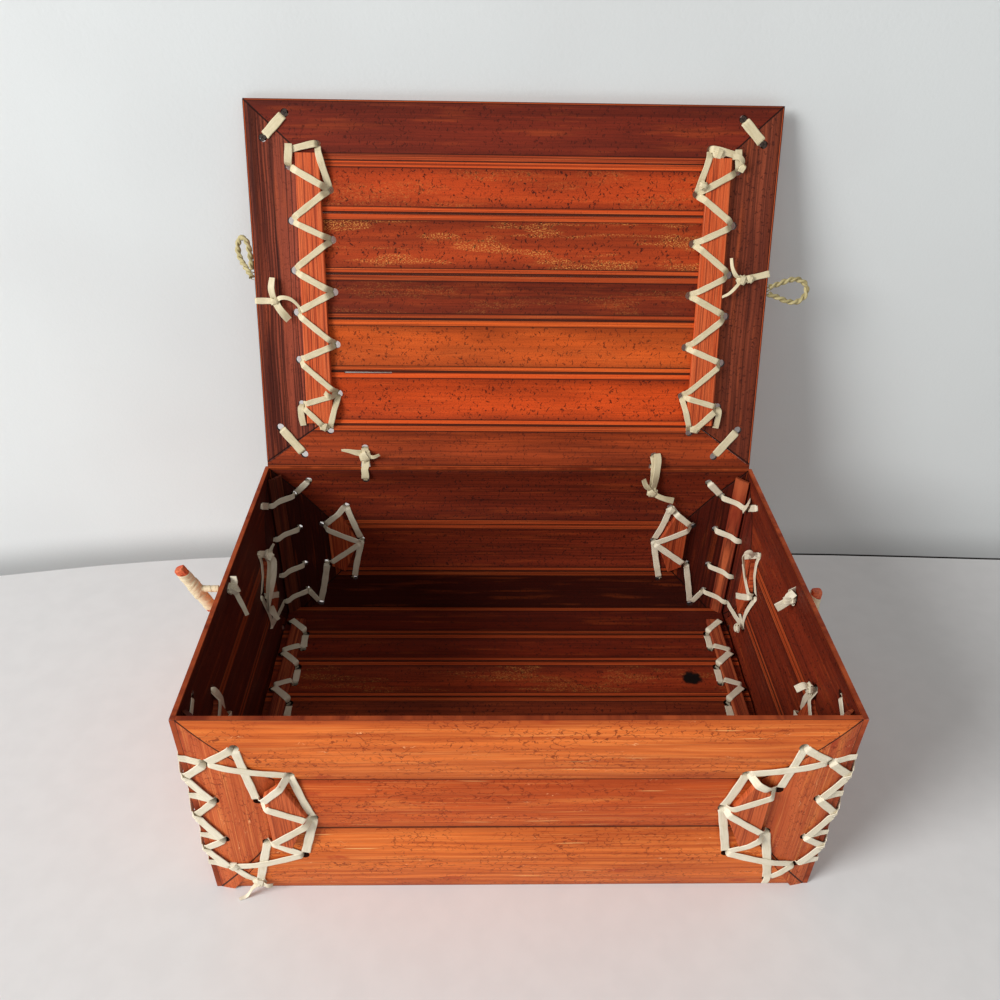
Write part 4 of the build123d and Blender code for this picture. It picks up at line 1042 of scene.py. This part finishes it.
def tie_back_right(weave, ends, sides):
    """Knots inside both walls, a strap's end turned up and a loose fold down the right wall."""
    knot(weave, back.at(*ends["rail_low"], 3.8), back.x, back.z, 6.0, 4.2)
    at = right.at(*sides["corner_1"], 4.0)
    ribbon(weave, beside(at, (-0.5, 0, -1.5), (-1.0, -2.0, 0), (0, -4.5, 5.0), (0.8, -6.0, 11.0)), Y,
           turns=0.3, width=4.6)
    at = right.at(*sides["rail_low"], 6.4)
    ribbon(weave, beside(at, (0, -1.5, 0), (-2.4, 0, 2.6), (-6.2, 0, 0.5), (-4.4, 0, -8), (-1.2, 0, -20)),
           (Y + X).normalized(), turns=0.5, width=4.6)
    knot(weave, right.at(*sides["foot_high"], 5.0), Z, right.z, 6.0, 4.0)


CORNER_TIES = {"front_left": tie_front_left, "front_right": tie_front_right,
               "back_left": tie_back_left, "back_right": tie_back_right}
for index, (name, corner) in enumerate(CORNERS.items()):
    weave = Weave(20 + index)
    panel, rise, skew, inset = END[name]
    ends = wall_holes(panel, corner, rise, skew, inset)
    sides = wall_holes(SIDE[name], corner, SIDE_RISE)
    lace_corner(weave, corner, panel, ends, SIDE[name], sides)
    CORNER_TIES[name](weave, ends, sides)
    piece = weave.finish(f"{name}_lacing", CANE)
    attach(piece, "base")
    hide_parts(f"{name}_lace")


# The lid's lace: zigzags over both battens, with holes as shares of the lid's depth
OUTER_ROWS, OUTER_IN = (0.833, 0.69, 0.556, 0.44, 0.305, 0.175), 26
INNER_ROWS, INNER_IN = (0.888, 0.772, 0.64, 0.498, 0.35, 0.207, 0.097), 51.5
BATTEN_TOP, BATTEN_LOW = 0.866 * LID_DEPTH, 0.12 * LID_DEPTH
STITCH_W, OVER = 4.2, EDGE + 0.7
CORNER_STITCHES = (((25.4, LID_DEPTH - 8), (11, LID_DEPTH - 22.5)), ((26, 5.5), (10.3, 24.3)))


def lace_batten(weave, side):
    outer = [(side * (LID_HALF - OUTER_IN), t * LID_DEPTH) for t in OUTER_ROWS]
    inner = [(side * (LID_HALF - INNER_IN), t * LID_DEPTH) for t in INNER_ROWS]
    inner[0] = (inner[0][0] + side * 7, inner[0][1])
    inner[-1] = (inner[-1][0] + side * 7, inner[-1][1])
    for k in range(6):
        for a, b in ((inner[k], outer[k]), (outer[k], inner[k + 1])):
            run(weave, lid, -1, jitter(weave, a), jitter(weave, b), lift=weave.rng.uniform(0, 0.3),
                width=STITCH_W)
            if k or a is outer[0]:
                run(weave, lid, 1, jitter(weave, a, 0.2), jitter(weave, b, 0.2),
                    lift=weave.rng.uniform(0, 0.2) + (0.5 if a in outer else 0), width=STITCH_W)
    run(weave, lid, 1, inner[0], inner[1], lift=0.2, width=STITCH_W)
    run(weave, lid, 1, inner[5], inner[6], lift=0.2, width=STITCH_W)
    return outer, inner


def turn_at_top(weave, side, a, b):
    """The lace turns round the batten's upper end, under its corner."""
    over_a, over_b = (a[0], BATTEN_TOP), (b[0], BATTEN_TOP)
    ribbon(weave, lid.trail(a, side, (-0.5, 0, 0), (0.8, 0.2, OVER), (3.5, -0.2, OVER + 0.4))
           + lid.trail(over_a, side, (10, 3.4, OVER + 0.4), (16.4, 1.8, OVER)), lid.y,
           width=4.4, pinch=(0.8, 1))
    ribbon(weave, lid.trail(over_b, side, (-1.2, 5.2, OVER + 0.9), (-1.0, 0.6, OVER + 1.3))
           + lid.trail(b, side, (-0.3, 3.0, OVER + 0.6), (0, 1.2, 2.4), (0, 0, 0)), lid.x,
           width=4.6, pinch=(1, 0.8))


def lid_ends(weave, side, outer, inner):
    """Folded ends, knots and tails at the battens' ends."""
    knot(weave, lid.at(inner[6][0] + side * 3.4, BATTEN_LOW - 2.2, 3.0), lid.x * side, lid.z, 6.5, 4.0)
    ribbon(weave, lid.trail(outer[5], side, (0, 0, 1.5), (0.6, -3, 3.6), (0.2, -9, 3.9), (-0.6, -14.5, 3.2)),
           lid.x, width=4.4, pinch=(0.7, 1), ends=(0.6, 0))
    if side > 0:
        knot(weave, lid.at(inner[0][0] + 5, BATTEN_TOP + 2.2, 3.0), lid.x, lid.z, 7.5, 4.2)
        ribbon(weave, lid.trail((outer[0][0], BATTEN_TOP), 1, (-5, 1, 5.0), (-0.5, 0.5, 5.6),
                                (2.6, -3.5, 5.0), (1.2, -8, 3.4)), lid.y, turns=0.7, width=4.2)
        knot(weave, lid.at(inner[1][0] + 2.6, inner[1][1] + 5.0, 6.6), lid.y, lid.z, 5.4, 3.4)
    else:
        ribbon(weave, lid.trail(inner[5], 1, (-4.5, -1.5, 7.0), (-6.5, -0.5, 8.0), (-8.6, 1.6, 7.4)), lid.y,
               turns=0.5, width=4.6, grow=taper(0.7, 1.15))


def lace_lid():
    weave = Weave(40)
    for side in (-1, 1):
        outer, inner = lace_batten(weave, side)
        turn_at_top(weave, side, inner[0], outer[0])
        lid_ends(weave, side, outer, inner)
        for pair in CORNER_STITCHES:
            a, b = ((side * (LID_HALF - x), y) for x, y in pair)
            run(weave, lid, 1, a, b, width=6.2)
            run(weave, lid, -1, a, b)
            if b[1] > LID_DEPTH / 2:
                stuff(weave, lid, *a)
                stuff(weave, lid, *b)
    return weave


piece = lace_lid().finish("lid_lacing", CANE_LID)
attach(piece, "lid")
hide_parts("lid_lace")


FLOOR_OUTER_X, FLOOR_INNER_X, FLOOR_FIRST, FLOOR_STEP = 164.5, 150, 33, 34


def lace_floor():
    """Zigzags over the bottom's end battens."""
    weave = Weave(50)
    for side in (-1, 1):
        outer = [(side * FLOOR_OUTER_X, FLOOR_FIRST + FLOOR_STEP * k) for k in range(6)]
        for (x, near), (_, far) in zip(outer[:-1], outer[1:]):
            low, high = (side * FLOOR_INNER_X, near + 6), (side * FLOOR_INNER_X, far - 13)
            for a, b in (((x, near), low), (low, high), (high, (x, far))):
                for face in (-1, 1):
                    run(weave, floor, face, jitter(weave, a), jitter(weave, b),
                        lift=weave.rng.uniform(0, 0.4))
    return weave


piece = lace_floor().finish("floor_lacing", CANE)
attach(piece, "base")
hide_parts("bottom_lace")


# The hinge ties: place along the rim, hole in the lid's back rail and hole in the wall's top rail
TIES = ((-TIE_X, 10, 130.5), (TIE_X, 5.5, 121))
RAIL_CROWN = 2.86      # how far the wall's top rail bulges out between its edges


def hinge_strap(weave, x, t, z):
    """One tie: inside over the lid's lip and the rim, and outside up round the hinge line."""
    rail_low = SHARES["back"][1] * H
    share = (z - (rail_low + H) / 2) / ((H - rail_low) / 2)
    bulge = RAIL_CROWN * (1 - share ** 2)
    ribbon(weave, lid.trail((x, 0), 1, (0, t, -1), (0, t - 0.8, 3.2), (0.4, t * 0.45, 4.2))
           + beside(X * x, (0.6, 226.0, 141.8), (0, 224.0, 139.6), (0.3, 223.2, 136), (0, 223.4, z + 2.2),
                    (0, 226.2, z)), X, width=5.2, pinch=(0.8, 0.8), cup=(0.3, 0.3))
    ribbon(weave, beside(X * x, (0, 224.6, z), (0, D + bulge + 0.9, z + 1.2),
                         (0, D + bulge * 0.5 + 0.8, (z + H) / 2 + 1), (0, 228.6, 139.4), (0, 230.4, 140.2))
           + lid.trail((x, 0), 1, (0, 0.6, -1.9), (0, max(t - 2.5, 2), -2.3), (0, t, -0.6), (0, t, 1.5)),
           X, width=4.2, pinch=(0.7, 0.7))


def tie_hinges():
    weave = Weave(60)
    for x, t, z in TIES:
        hinge_strap(weave, x, t, z)
    # the left tie's knot lies on the lid, the right one's on the wall
    foot = (-TIE_X, 0)
    knot(weave, lid.at(0.4 - TIE_X, 5.0, 4.4), (lid.x * 0.4 + lid.y).normalized(), lid.z, 8.0, 5.2)
    ribbon(weave, lid.trail(foot, 1, (0, 7, 4.4), (-5, 7.4, 5.4), (-11, 8.6, 5.2), (-16, 9.0, 4.4)), lid.y,
           turns=0.3, width=4.4, grow=taper(1.1, 0.35, 2))
    ribbon(weave, lid.trail(foot, 1, (1, 5, 4.6), (6, 4.6, 6.2), (10.5, 6.4, 6.6)), lid.y, turns=-0.5,
           width=3.4, grow=taper(1.0, 0.6))
    ribbon(weave, lid.trail(foot, 1, (0.6, 9, 3.4), (0.8, 5, 5.6), (1.4, 0.5, 5.4)), lid.x, turns=0.35,
           width=5.0)
    at = Vector((TIE_X, 222.6, 123))
    knot(weave, at, (X * 0.5 + Z).normalized(), -Y, 7.4, 5.0)
    ribbon(weave, beside(at, (0, 0, 0), (3.5, -2, -2), (9, -2.2, -4.4), (16, -1, -7)), Z, turns=0.4,
           width=4.2, grow=taper(0.8, 1.0))
    ribbon(weave, beside(at, (0, 0, 0), (-2, -2.1, 3), (-5.5, -3, 7), (-7.5, -1.8, 11.5)), X, turns=-0.5,
           width=4.0, grow=taper(0.8, 1.0))
    ribbon(weave, lid.trail((TIE_X, 0), 1, (2, 7.5, 3.2), (2.4, 4, 5.4))
           + beside(at, (1.8, 1.4, 19.6), (1.2, -1, 13), (0.6, -0.8, 4), (0, 0, 0)), X, turns=0.5, width=5.2)
    return weave


piece = tie_hinges().finish("hinge_ties", CANE_LID)
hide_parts("hinge_tie_knots", "hinge_tie_straps")
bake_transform(piece)


# The latch loops: two strands twisted round each other
CORD_RADIUS, CORD_PITCH, STRANDS = 1.75, 10.0, 2
EYE_HALF = ((7, 4.8), (12.5, 6.9), (18, 7.6), (23, 5.6), (25.3, 1.0), (24, -3.9), (19.5, -7.2),
            (13, -6.9), (7, -4.6))
LOOP_ROOT = LID_HALF + 0.3 + 1.6


def twist_cord(weave, path, normal):
    """Strands along path; each is flat cane rolled on itself, so its section is creased."""
    line = catmull(path, 5)
    for strand in range(STRANDS):
        length, centre, frames = 0.0, [], []
        for i, p in enumerate(line):
            t = tangent(line, i)
            side = t.cross(normal).normalized()
            up = side.cross(t)
            if i:
                length += (p - line[i - 1]).length
            angle = tau * length / CORD_PITCH + tau * strand / STRANDS
            centre.append(p + (side * cos(angle) + up * sin(angle)) * CORD_RADIUS * 0.48)
            frames.append((side, up))
        creases = [1 + 0.1 * cos(3 * tau * k / 12 + strand) for k in range(12)]
        ring = [(a * crease, b * crease) for (a, b), crease in zip(circle(CORD_RADIUS * 0.64, 12), creases)]
        weave.tube(centre, frames, lambda i, run, total: ring, lambda k, a: k * 0.35, (0.5, 0.5))


def coil_round_edge(weave, root, turns=3.5, half=4.2, radius=1.05, steps=70):
    """The turns of cord round which a loop swings."""
    coil = []
    for k in range(steps + 1):
        angle = tau * turns * k / steps
        radial = lid.x * cos(angle) + lid.z * sin(angle)
        coil.append(root + lid.y * (2 * half * k / steps - half) + radial * radius)
    weave.tube(coil, [(lid.x, lid.z)] * len(coil), lambda i, run, total: circle(0.62, 8),
               lambda k, a: k * 0.3)


def make_loop(name, side, place, lean, droop, seed):
    weave = Weave(seed)
    root = lid.at(side * LOOP_ROOT, place, EDGE / 2)
    lean, swing = radians(lean), radians(side * droop)

    def turn(v):
        return v * cos(swing) + lid.y.cross(v) * sin(swing) + lid.y * lid.y.dot(v) * (1 - cos(swing))

    out = turn(lid.x * side * cos(lean) + lid.y * sin(lean))
    along = turn(lid.x * side * -sin(lean) + lid.y * cos(lean))
    normal = out.cross(along)
    neck = (2.4 * sin(lean), 2.4 * cos(lean))
    flat = (neck,) + EYE_HALF + ((-neck[0], -neck[1]),)
    twist_cord(weave, [root + out * x + along * y + normal * 0.35 * sin(x * 0.5) for x, y in flat], normal)
    coil_round_edge(weave, root)
    piece = weave.finish(f"{name}_cord", CANE_CORD)
    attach(piece, name)
    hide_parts(name)


make_loop("left_loop", -1, 127, 55, 50, 71)
make_loop("right_loop", 1, 119.3, 0, 0, 72)

# How far outside the panel's edge plane a strap lies over a stile's crown
STRAP_OUT = 2.286 + 0.35
LEFT_TIE, RIGHT_TIE = (-LID_HALF + 12.6, 109.5), (LID_HALF - 17.8, 126)


def loop_strap(weave, side, at, edge_y):
    """From the hole over the inside to the lid's side edge, round it and back outside."""
    reach, climb = LID_HALF + 0.55 - side * at[0], edge_y - at[1]
    lateral = (lid.y - lid.x * side * (climb / reach)).normalized()
    ribbon(weave, lid.trail(at, side, (0, 0, 0), (2, 2 * climb / reach, 2.9), (reach / 2, climb / 2, 2.7),
                            (reach - 1.2, climb, 2.95), (reach, climb, 2.35), (reach + 0.1, climb, 1.3),
                            (reach, climb, -0.2), (reach - 2, climb, -1.1),
                            (reach / 2, climb / 2, -STRAP_OUT), (1.5, 0, -STRAP_OUT - 0.2), (0, 0, 0.5)),
           lateral, width=4.2)


def tie_loops():
    weave = Weave(75)
    loop_strap(weave, -1, LEFT_TIE, 109.5)
    loop_strap(weave, 1, RIGHT_TIE, 130)
    knot(weave, lid.at(*LEFT_TIE, 3.2), lid.y, lid.z, 6.0, 3.8)
    ribbon(weave, lid.trail(LEFT_TIE, 1, (0, 0, 3.2), (-1, 4, 5.5), (-1.6, 9, 5.4), (-0.8, 15, 4.0)), lid.x,
           turns=0.3, width=4.4)
    ribbon(weave, lid.trail(LEFT_TIE, 1, (0, 0, 3.2), (5, 2.5, 6.5), (11, 1.5, 6.8), (15.5, -3, 5.4),
                            (17, -8, 3.6)), lid.y, turns=-0.7, width=3.0, grow=taper(1.1, 0.5))
    ribbon(weave, lid.trail(LEFT_TIE, 1, (0, 0, 3.2), (2.6, -4, 5.8), (5.6, -8, 6.2), (8.6, -12, 4.8)),
           (lid.x + lid.y * 0.6).normalized(), turns=0.4, width=4.8)
    knot(weave, lid.at(*RIGHT_TIE, 3.0), (lid.x + lid.y * 0.3).normalized(), lid.z, 6.4, 4.2)
    knot(weave, lid.at(RIGHT_TIE[0] + 5.5, RIGHT_TIE[1] + 0.6, 2.6), lid.x, lid.z, 5.0, 3.4)
    ribbon(weave, lid.trail(RIGHT_TIE, 1, (0, 0, 3.0), (-4.5, 3, 5.6), (-7.5, 8, 6.4), (-8.6, 14, 6.0)),
           lid.x, turns=0.9, width=3.2, grow=taper(1.0, 0.7))
    ribbon(weave, lid.trail(RIGHT_TIE, 1, (0, 0, 3.0), (-3.5, -4, 5.6), (-8, -8.5, 6.0), (-12.5, -11, 5.2)),
           lid.x, turns=-0.8, width=2.4, grow=taper(1.0, 0.7))
    return weave


piece = tie_loops().finish("loop_ties", CANE_LID)
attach(piece, "lid")
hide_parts("loop_knots")


# The toggle pegs: a split stick, wound with cane, on a bound stalk
PEG_HALF, PEG_A, PEG_B = 17, 3.0, 2.6
STALK_OUT, NECK, STALK_RUN = -3.1, 2, 11.5
PEG_ENDS = ((0, 0.86), (0.3, 0.96), (1.2, 1), (6, 1), (17, 1), (28, 1), (32.8, 1), (33.7, 0.97), (34, 0.88))


def stick_section(scale, phase):
    """A split stick's squarish, uneven section."""
    ring = []
    for k in range(16):
        angle = tau * k / 16
        c, s = cos(angle), sin(angle)
        grow = scale * (1 + 0.045 * sin(3 * angle + phase)) / (c ** 4 + s ** 4) ** 0.25
        ring.append((PEG_A * c * grow, PEG_B * s * grow))
    return ring


def wind(weave, foot, axis, side, start, end, radius, pitch, width, thick, tilt=0.0):
    """Flat cane wound in slightly uneven turns round an axis."""
    other = axis.cross(side)
    turns = (end - start) / pitch
    count = int(turns * 18)
    path, frames = [], []
    for k in range(count + 1):
        angle = tau * turns * k / count
        radial = side * cos(angle) + other * sin(angle)
        lane = start + (end - start) * k / count + tilt * cos(angle) + 0.16 * sin(angle * 0.37 + 1)
        r = radius * (1 + 0.02 * sin(angle * 1.7)) + 0.12 * (k % 36 < 18)
        path.append(foot + axis * lane + radial * (r + thick / 2))
        frames.append((axis, radial))
    ring = [(x * width, z * thick / 2) for x, z in WIND_SECTION]
    weave.tube(path, frames, lambda i, run, total: ring, lambda k, a: a, (0.3, 0.3))


def make_peg(hand, side, panel, place, height, lean, droop, seed):
    body = f"{hand}_peg"
    root = panel.at(peg_across(side, panel, place), height, STALK_OUT)
    out = -panel.z
    heading = out * cos(radians(droop)) - Z * sin(radians(droop))
    neck = root + out * NECK
    centre = neck + heading * STALK_RUN
    axis = out * sin(radians(lean)) + Z * cos(radians(lean))
    foot = centre - axis * PEG_HALF
    first = axis.cross(Y).normalized()
    core = Weave(seed)
    core.tube([foot + axis * t for t, _ in PEG_ENDS], [(first, axis.cross(first))] * len(PEG_ENDS),
              lambda i, run, total: stick_section(PEG_ENDS[i][1], seed), lambda k, a: a)
    piece = core.finish(f"{hand}_peg_core", CORE, "peg_bamboo")
    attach(piece, body)
    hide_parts(f"{hand}_peg")
    wraps = Weave(seed + 1)
    wind(wraps, foot, axis, first, 2.6, 30.2, 3.05, 2.3, 2.7, 0.5, 1.7)
    wind(wraps, foot, axis, first, 13.5, 21.0, 3.5, 2.1, 2.5, 0.45, -1.2)
    piece = wraps.finish(f"{hand}_peg_wraps", CANE_WRAP)
    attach(piece, body)
    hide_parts(f"{hand}_peg_winding")
    stalk = Weave(seed + 2)
    reach = centre - heading * 3.0
    line = catmull([root, neck, neck.lerp(reach, 0.5), reach], 5)
    stalk.tube(line, [(Y, heading.cross(Y))] * len(line), lambda i, run, total: circle(1.55, 10),
               lambda k, a: k * 0.4)
    wind(stalk, neck, heading, Y, -0.6, (reach - neck).length, 1.5, 1.55, 1.75, 0.45, 0.25)
    wind(stalk, root, out, Y, 0.2, 2.2, 1.55, 1.0, 1.3, 0.4)
    piece = stalk.finish(f"{hand}_peg_binding", CANE_WRAP)
    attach(piece, body)
    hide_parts(f"{hand}_peg_stalk")


def peg_across(side, panel, place):
    """Where on its wall a peg hangs, from its place along the chest."""
    return panel.local(Vector((side * W / 2, place, 0)))[0]


PEGS = {"left": (-1, left, 106, 132), "right": (1, right, 107, 124)}
make_peg("left", *PEGS["left"], 25, 0, 80)
make_peg("right", *PEGS["right"], 0, 62, 90)


def tie_pegs():
    """The stalks' strands through the walls, and their knots and tails inside."""
    weave = Weave(97)
    for side, panel, place, height in PEGS.values():
        across = peg_across(side, panel, place)
        for turn in (0, 2.1, 4.2):
            d = Y * cos(turn) + Z * sin(turn)
            strand = [panel.at(across, height, z) + d * off
                      for z, off in ((3.4, 1.0), (0.5, 0.9), (-2.7, 0.8))]
            ribbon(weave, strand, d.cross(X).normalized(), width=2.4, steps=3)
        knot(weave, panel.at(across, height, 2.4), Z, panel.z, 6.4 if side < 0 else 7.2, 4.2)
    k = left.at(peg_across(*PEGS["left"][:3]), PEGS["left"][3], 4.0)
    knot(weave, k + X * 1.6, (Z + X * 0.4).normalized(), -Y, 6.6, 4.4)
    ribbon(weave, beside(k, (0, 0, 0), (1.8, 1, 4.0), (1.6, 2, 7.8)), X, turns=0.2, width=4.4)
    ribbon(weave, beside(k, (1, 0, 0), (3.2, -1.5, -5), (5.6, -3, -11), (7.4, -4, -17)), X, turns=0.5,
           width=3.2, grow=taper(1.0, 0.8))
    ribbon(weave, beside(k, (0, 0, 0), (2.4, 0, -3.4), (3.0, -1.0, -7.0)), X, turns=-0.6, width=4.2,
           grow=taper(1.0, 0.7))
    k = right.at(peg_across(*PEGS["right"][:3]), PEGS["right"][3], 4.0)
    knot(weave, k - X * 1.4, (Z - X * 0.4).normalized(), -Y, 6.6, 4.4)
    ribbon(weave, beside(k, (0, 0, 0), (-4.2, -1.5, -2.4), (-8.6, -2.5, -5.0)), (Z + Y * 0.6).normalized(),
           turns=0.25, width=5.2)
    ribbon(weave, beside(k, (0, 0, 0), (0.2, 1.4, 3.6), (-0.4, 1, 7.4)), X, turns=-0.4, width=5.2)
    ribbon(weave, beside(k, (0, -1.6, 0), (-2.6, -2.4, 3.2), (0.4, -1.4, 6.2)), (X + Z * 0.3).normalized(),
           turns=0.5, width=4.6)
    return weave


piece = tie_pegs().finish("peg_ties", CANE)
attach(piece, "base")
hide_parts("peg_knots")


# Stage and light, in metres
WHITE_WORLD, PALE_WORLD = lin(240, 237, 232), lin(216, 222, 227)


def far_off(g, place, near, far):
    """0 near the chest, 1 well away from it, where the camera sees the pale world instead."""
    d = g.vmath("SUBTRACT", place, (0.0, 0.15, 0.15))
    return g.step(g.dot(d, d), near * near, far * far)


def camera_ray(g):
    return g.node("ShaderNodeLightPath").outputs["Is Camera Ray"]


def see_through(g, share, surface, hidden_first=False):
    """The surface, clear where share is 1, or where it is 0 with hidden_first."""
    clear = g.node("ShaderNodeBsdfTransparent").outputs[0]
    pair = {1: clear, 2: surface} if hidden_first else {1: surface, 2: clear}
    show(g, g.node("ShaderNodeMixShader", {0: share, **pair}).outputs[0])


def table_material():
    m, g = new_material("table_top")
    colour, place = lin(226, 227, 229), g.place()
    c = g.mix(g.step(g.noise(place, 60, 3), 0.3, 0.7), colour, g.mix(0.03, colour, (0, 0, 0, 1)))
    hidden = g.mul(camera_ray(g), far_off(g, place, 0.5, 1.15))
    see_through(g, hidden, g.coat(0.2, Base_Color=c, Roughness=0.6))
    return m


def wall_material():
    """Seen by the camera from the front alone, so it never hides the chest's back."""
    m, g = new_material("wall_paint")
    place = g.place()
    x, _, z = g.parts(place)
    right_hand = g.step(x, 0.0, 0.05)
    c = g.mix(g.step(g.noise(place, 5, 2), 0.3, 0.7), lin(214, 219, 221), lin(209, 213, 215))
    # painted shade gathered over the wall's foot, and a painted dark line of shade along its right part,
    # where the table's edge meets it
    shade = g.mul(g.step(z, 0.036, 0.0), g.step(right_hand, 0.0, 1.0, 0.5, 0.3))
    c = g.mix(shade, c, lin(60, 58, 56))
    c = g.mix(g.mul(g.step(z, 0.0022, 0.0012), right_hand), c, lin(36, 34, 33))
    bump = g.bump(g.noise(place, 420, 2), 0.12, 0.0008, Normal=g.xyz(0.0, -1.0, 0.0))
    paint = g.node("ShaderNodeBsdfDiffuse", {"Color": c, "Normal": bump}).outputs[0]
    behind = g.node("ShaderNodeNewGeometry").outputs["Backfacing"]
    shown = g.mul(camera_ray(g), g.sub(1.0, behind))
    shown = g.mul(shown, g.sub(1.0, far_off(g, place, 0.58, 1.15)))
    see_through(g, shown, paint, hidden_first=True)
    return m


def sheet_object(name, quads, material):
    mesh = bpy.data.meshes.new(name)
    corners = [c for quad in quads for c in quad]
    mesh.from_pydata(corners, [], [range(4 * k, 4 * k + 4) for k in range(len(quads))])
    mesh.materials.append(material)
    link(name, mesh)


def area_light(name, place, aim, size, power, colour):
    data = bpy.data.lights.new(name, "AREA")
    data.shape, data.size, data.energy, data.color = "DISK", size, power, colour
    obj = link(name, data)
    obj.location = place
    obj.rotation_euler = (Vector(aim) - Vector(place)).to_track_quat("-Z", "Y").to_euler()


# The wall is 3 m high and leans a little; its foot is a shallow bay, as points x, y on the table
WALL, WALL_TOP, TABLE_HALF = 0.3088, 3, 3
WALL_FOOT = ((-3, 0.2), (-0.7, 0.24), (-0.5, 0.262), (-0.414, 0.2763), (-0.372, 0.284), (-0.34, 0.2895),
             (-0.3, 0.295), (-0.2595, 0.2995), (-0.2, 0.304), (-0.1, 0.3075), (0, WALL), (0.15, WALL),
             (0.285, 0.3066), (0.346, 0.3044), (0.424, 0.3013), (0.6, 0.297), (3, 0.28))


def make_world():
    """An even light on the chest; the camera and mirrored rays see a paler one."""
    world = bpy.data.worlds.new("Studio")
    bpy.context.scene.world = world
    world.use_nodes = True
    world.node_tree.nodes.clear()
    g = Graph(world.node_tree)
    path = g.node("ShaderNodeLightPath").outputs
    seen = g.math("MAXIMUM", path["Is Camera Ray"], path["Is Glossy Ray"])
    light = g.node("ShaderNodeBackground", {"Color": WHITE_WORLD, "Strength": 0.36})
    pale = g.node("ShaderNodeBackground", {"Color": PALE_WORLD, "Strength": 0.9})
    both = g.node("ShaderNodeMixShader", {0: seen, 1: light.outputs[0], 2: pale.outputs[0]})
    show(g, both.outputs[0], "ShaderNodeOutputWorld")


def make_stage():
    t = TABLE_HALF
    sheet_object("table", [[(-t, -t, 0), (t, -t, 0), (t, t, 0), (-t, t, 0)]], table_material())
    sheet_object("wall", [[(x0, y0, 0), (x1, y1, 0), (x1, WALL, WALL_TOP), (x0, WALL, WALL_TOP)]
                          for (x0, y0), (x1, y1) in zip(WALL_FOOT[:-1], WALL_FOOT[1:])], wall_material())
    make_world()
    area_light("key", (-2.65, -1.45, 1.65), (0, 0.15, 0.12), 1.7, 127, (1, 0.985, 0.96))
    area_light("fill", (0.5, -1.6, 1.4), (0, 0.1, 0.1), 1.6, 6, (1, 0.98, 0.95))


make_stage()
bpy.context.scene.view_settings.view_transform = "Standard"
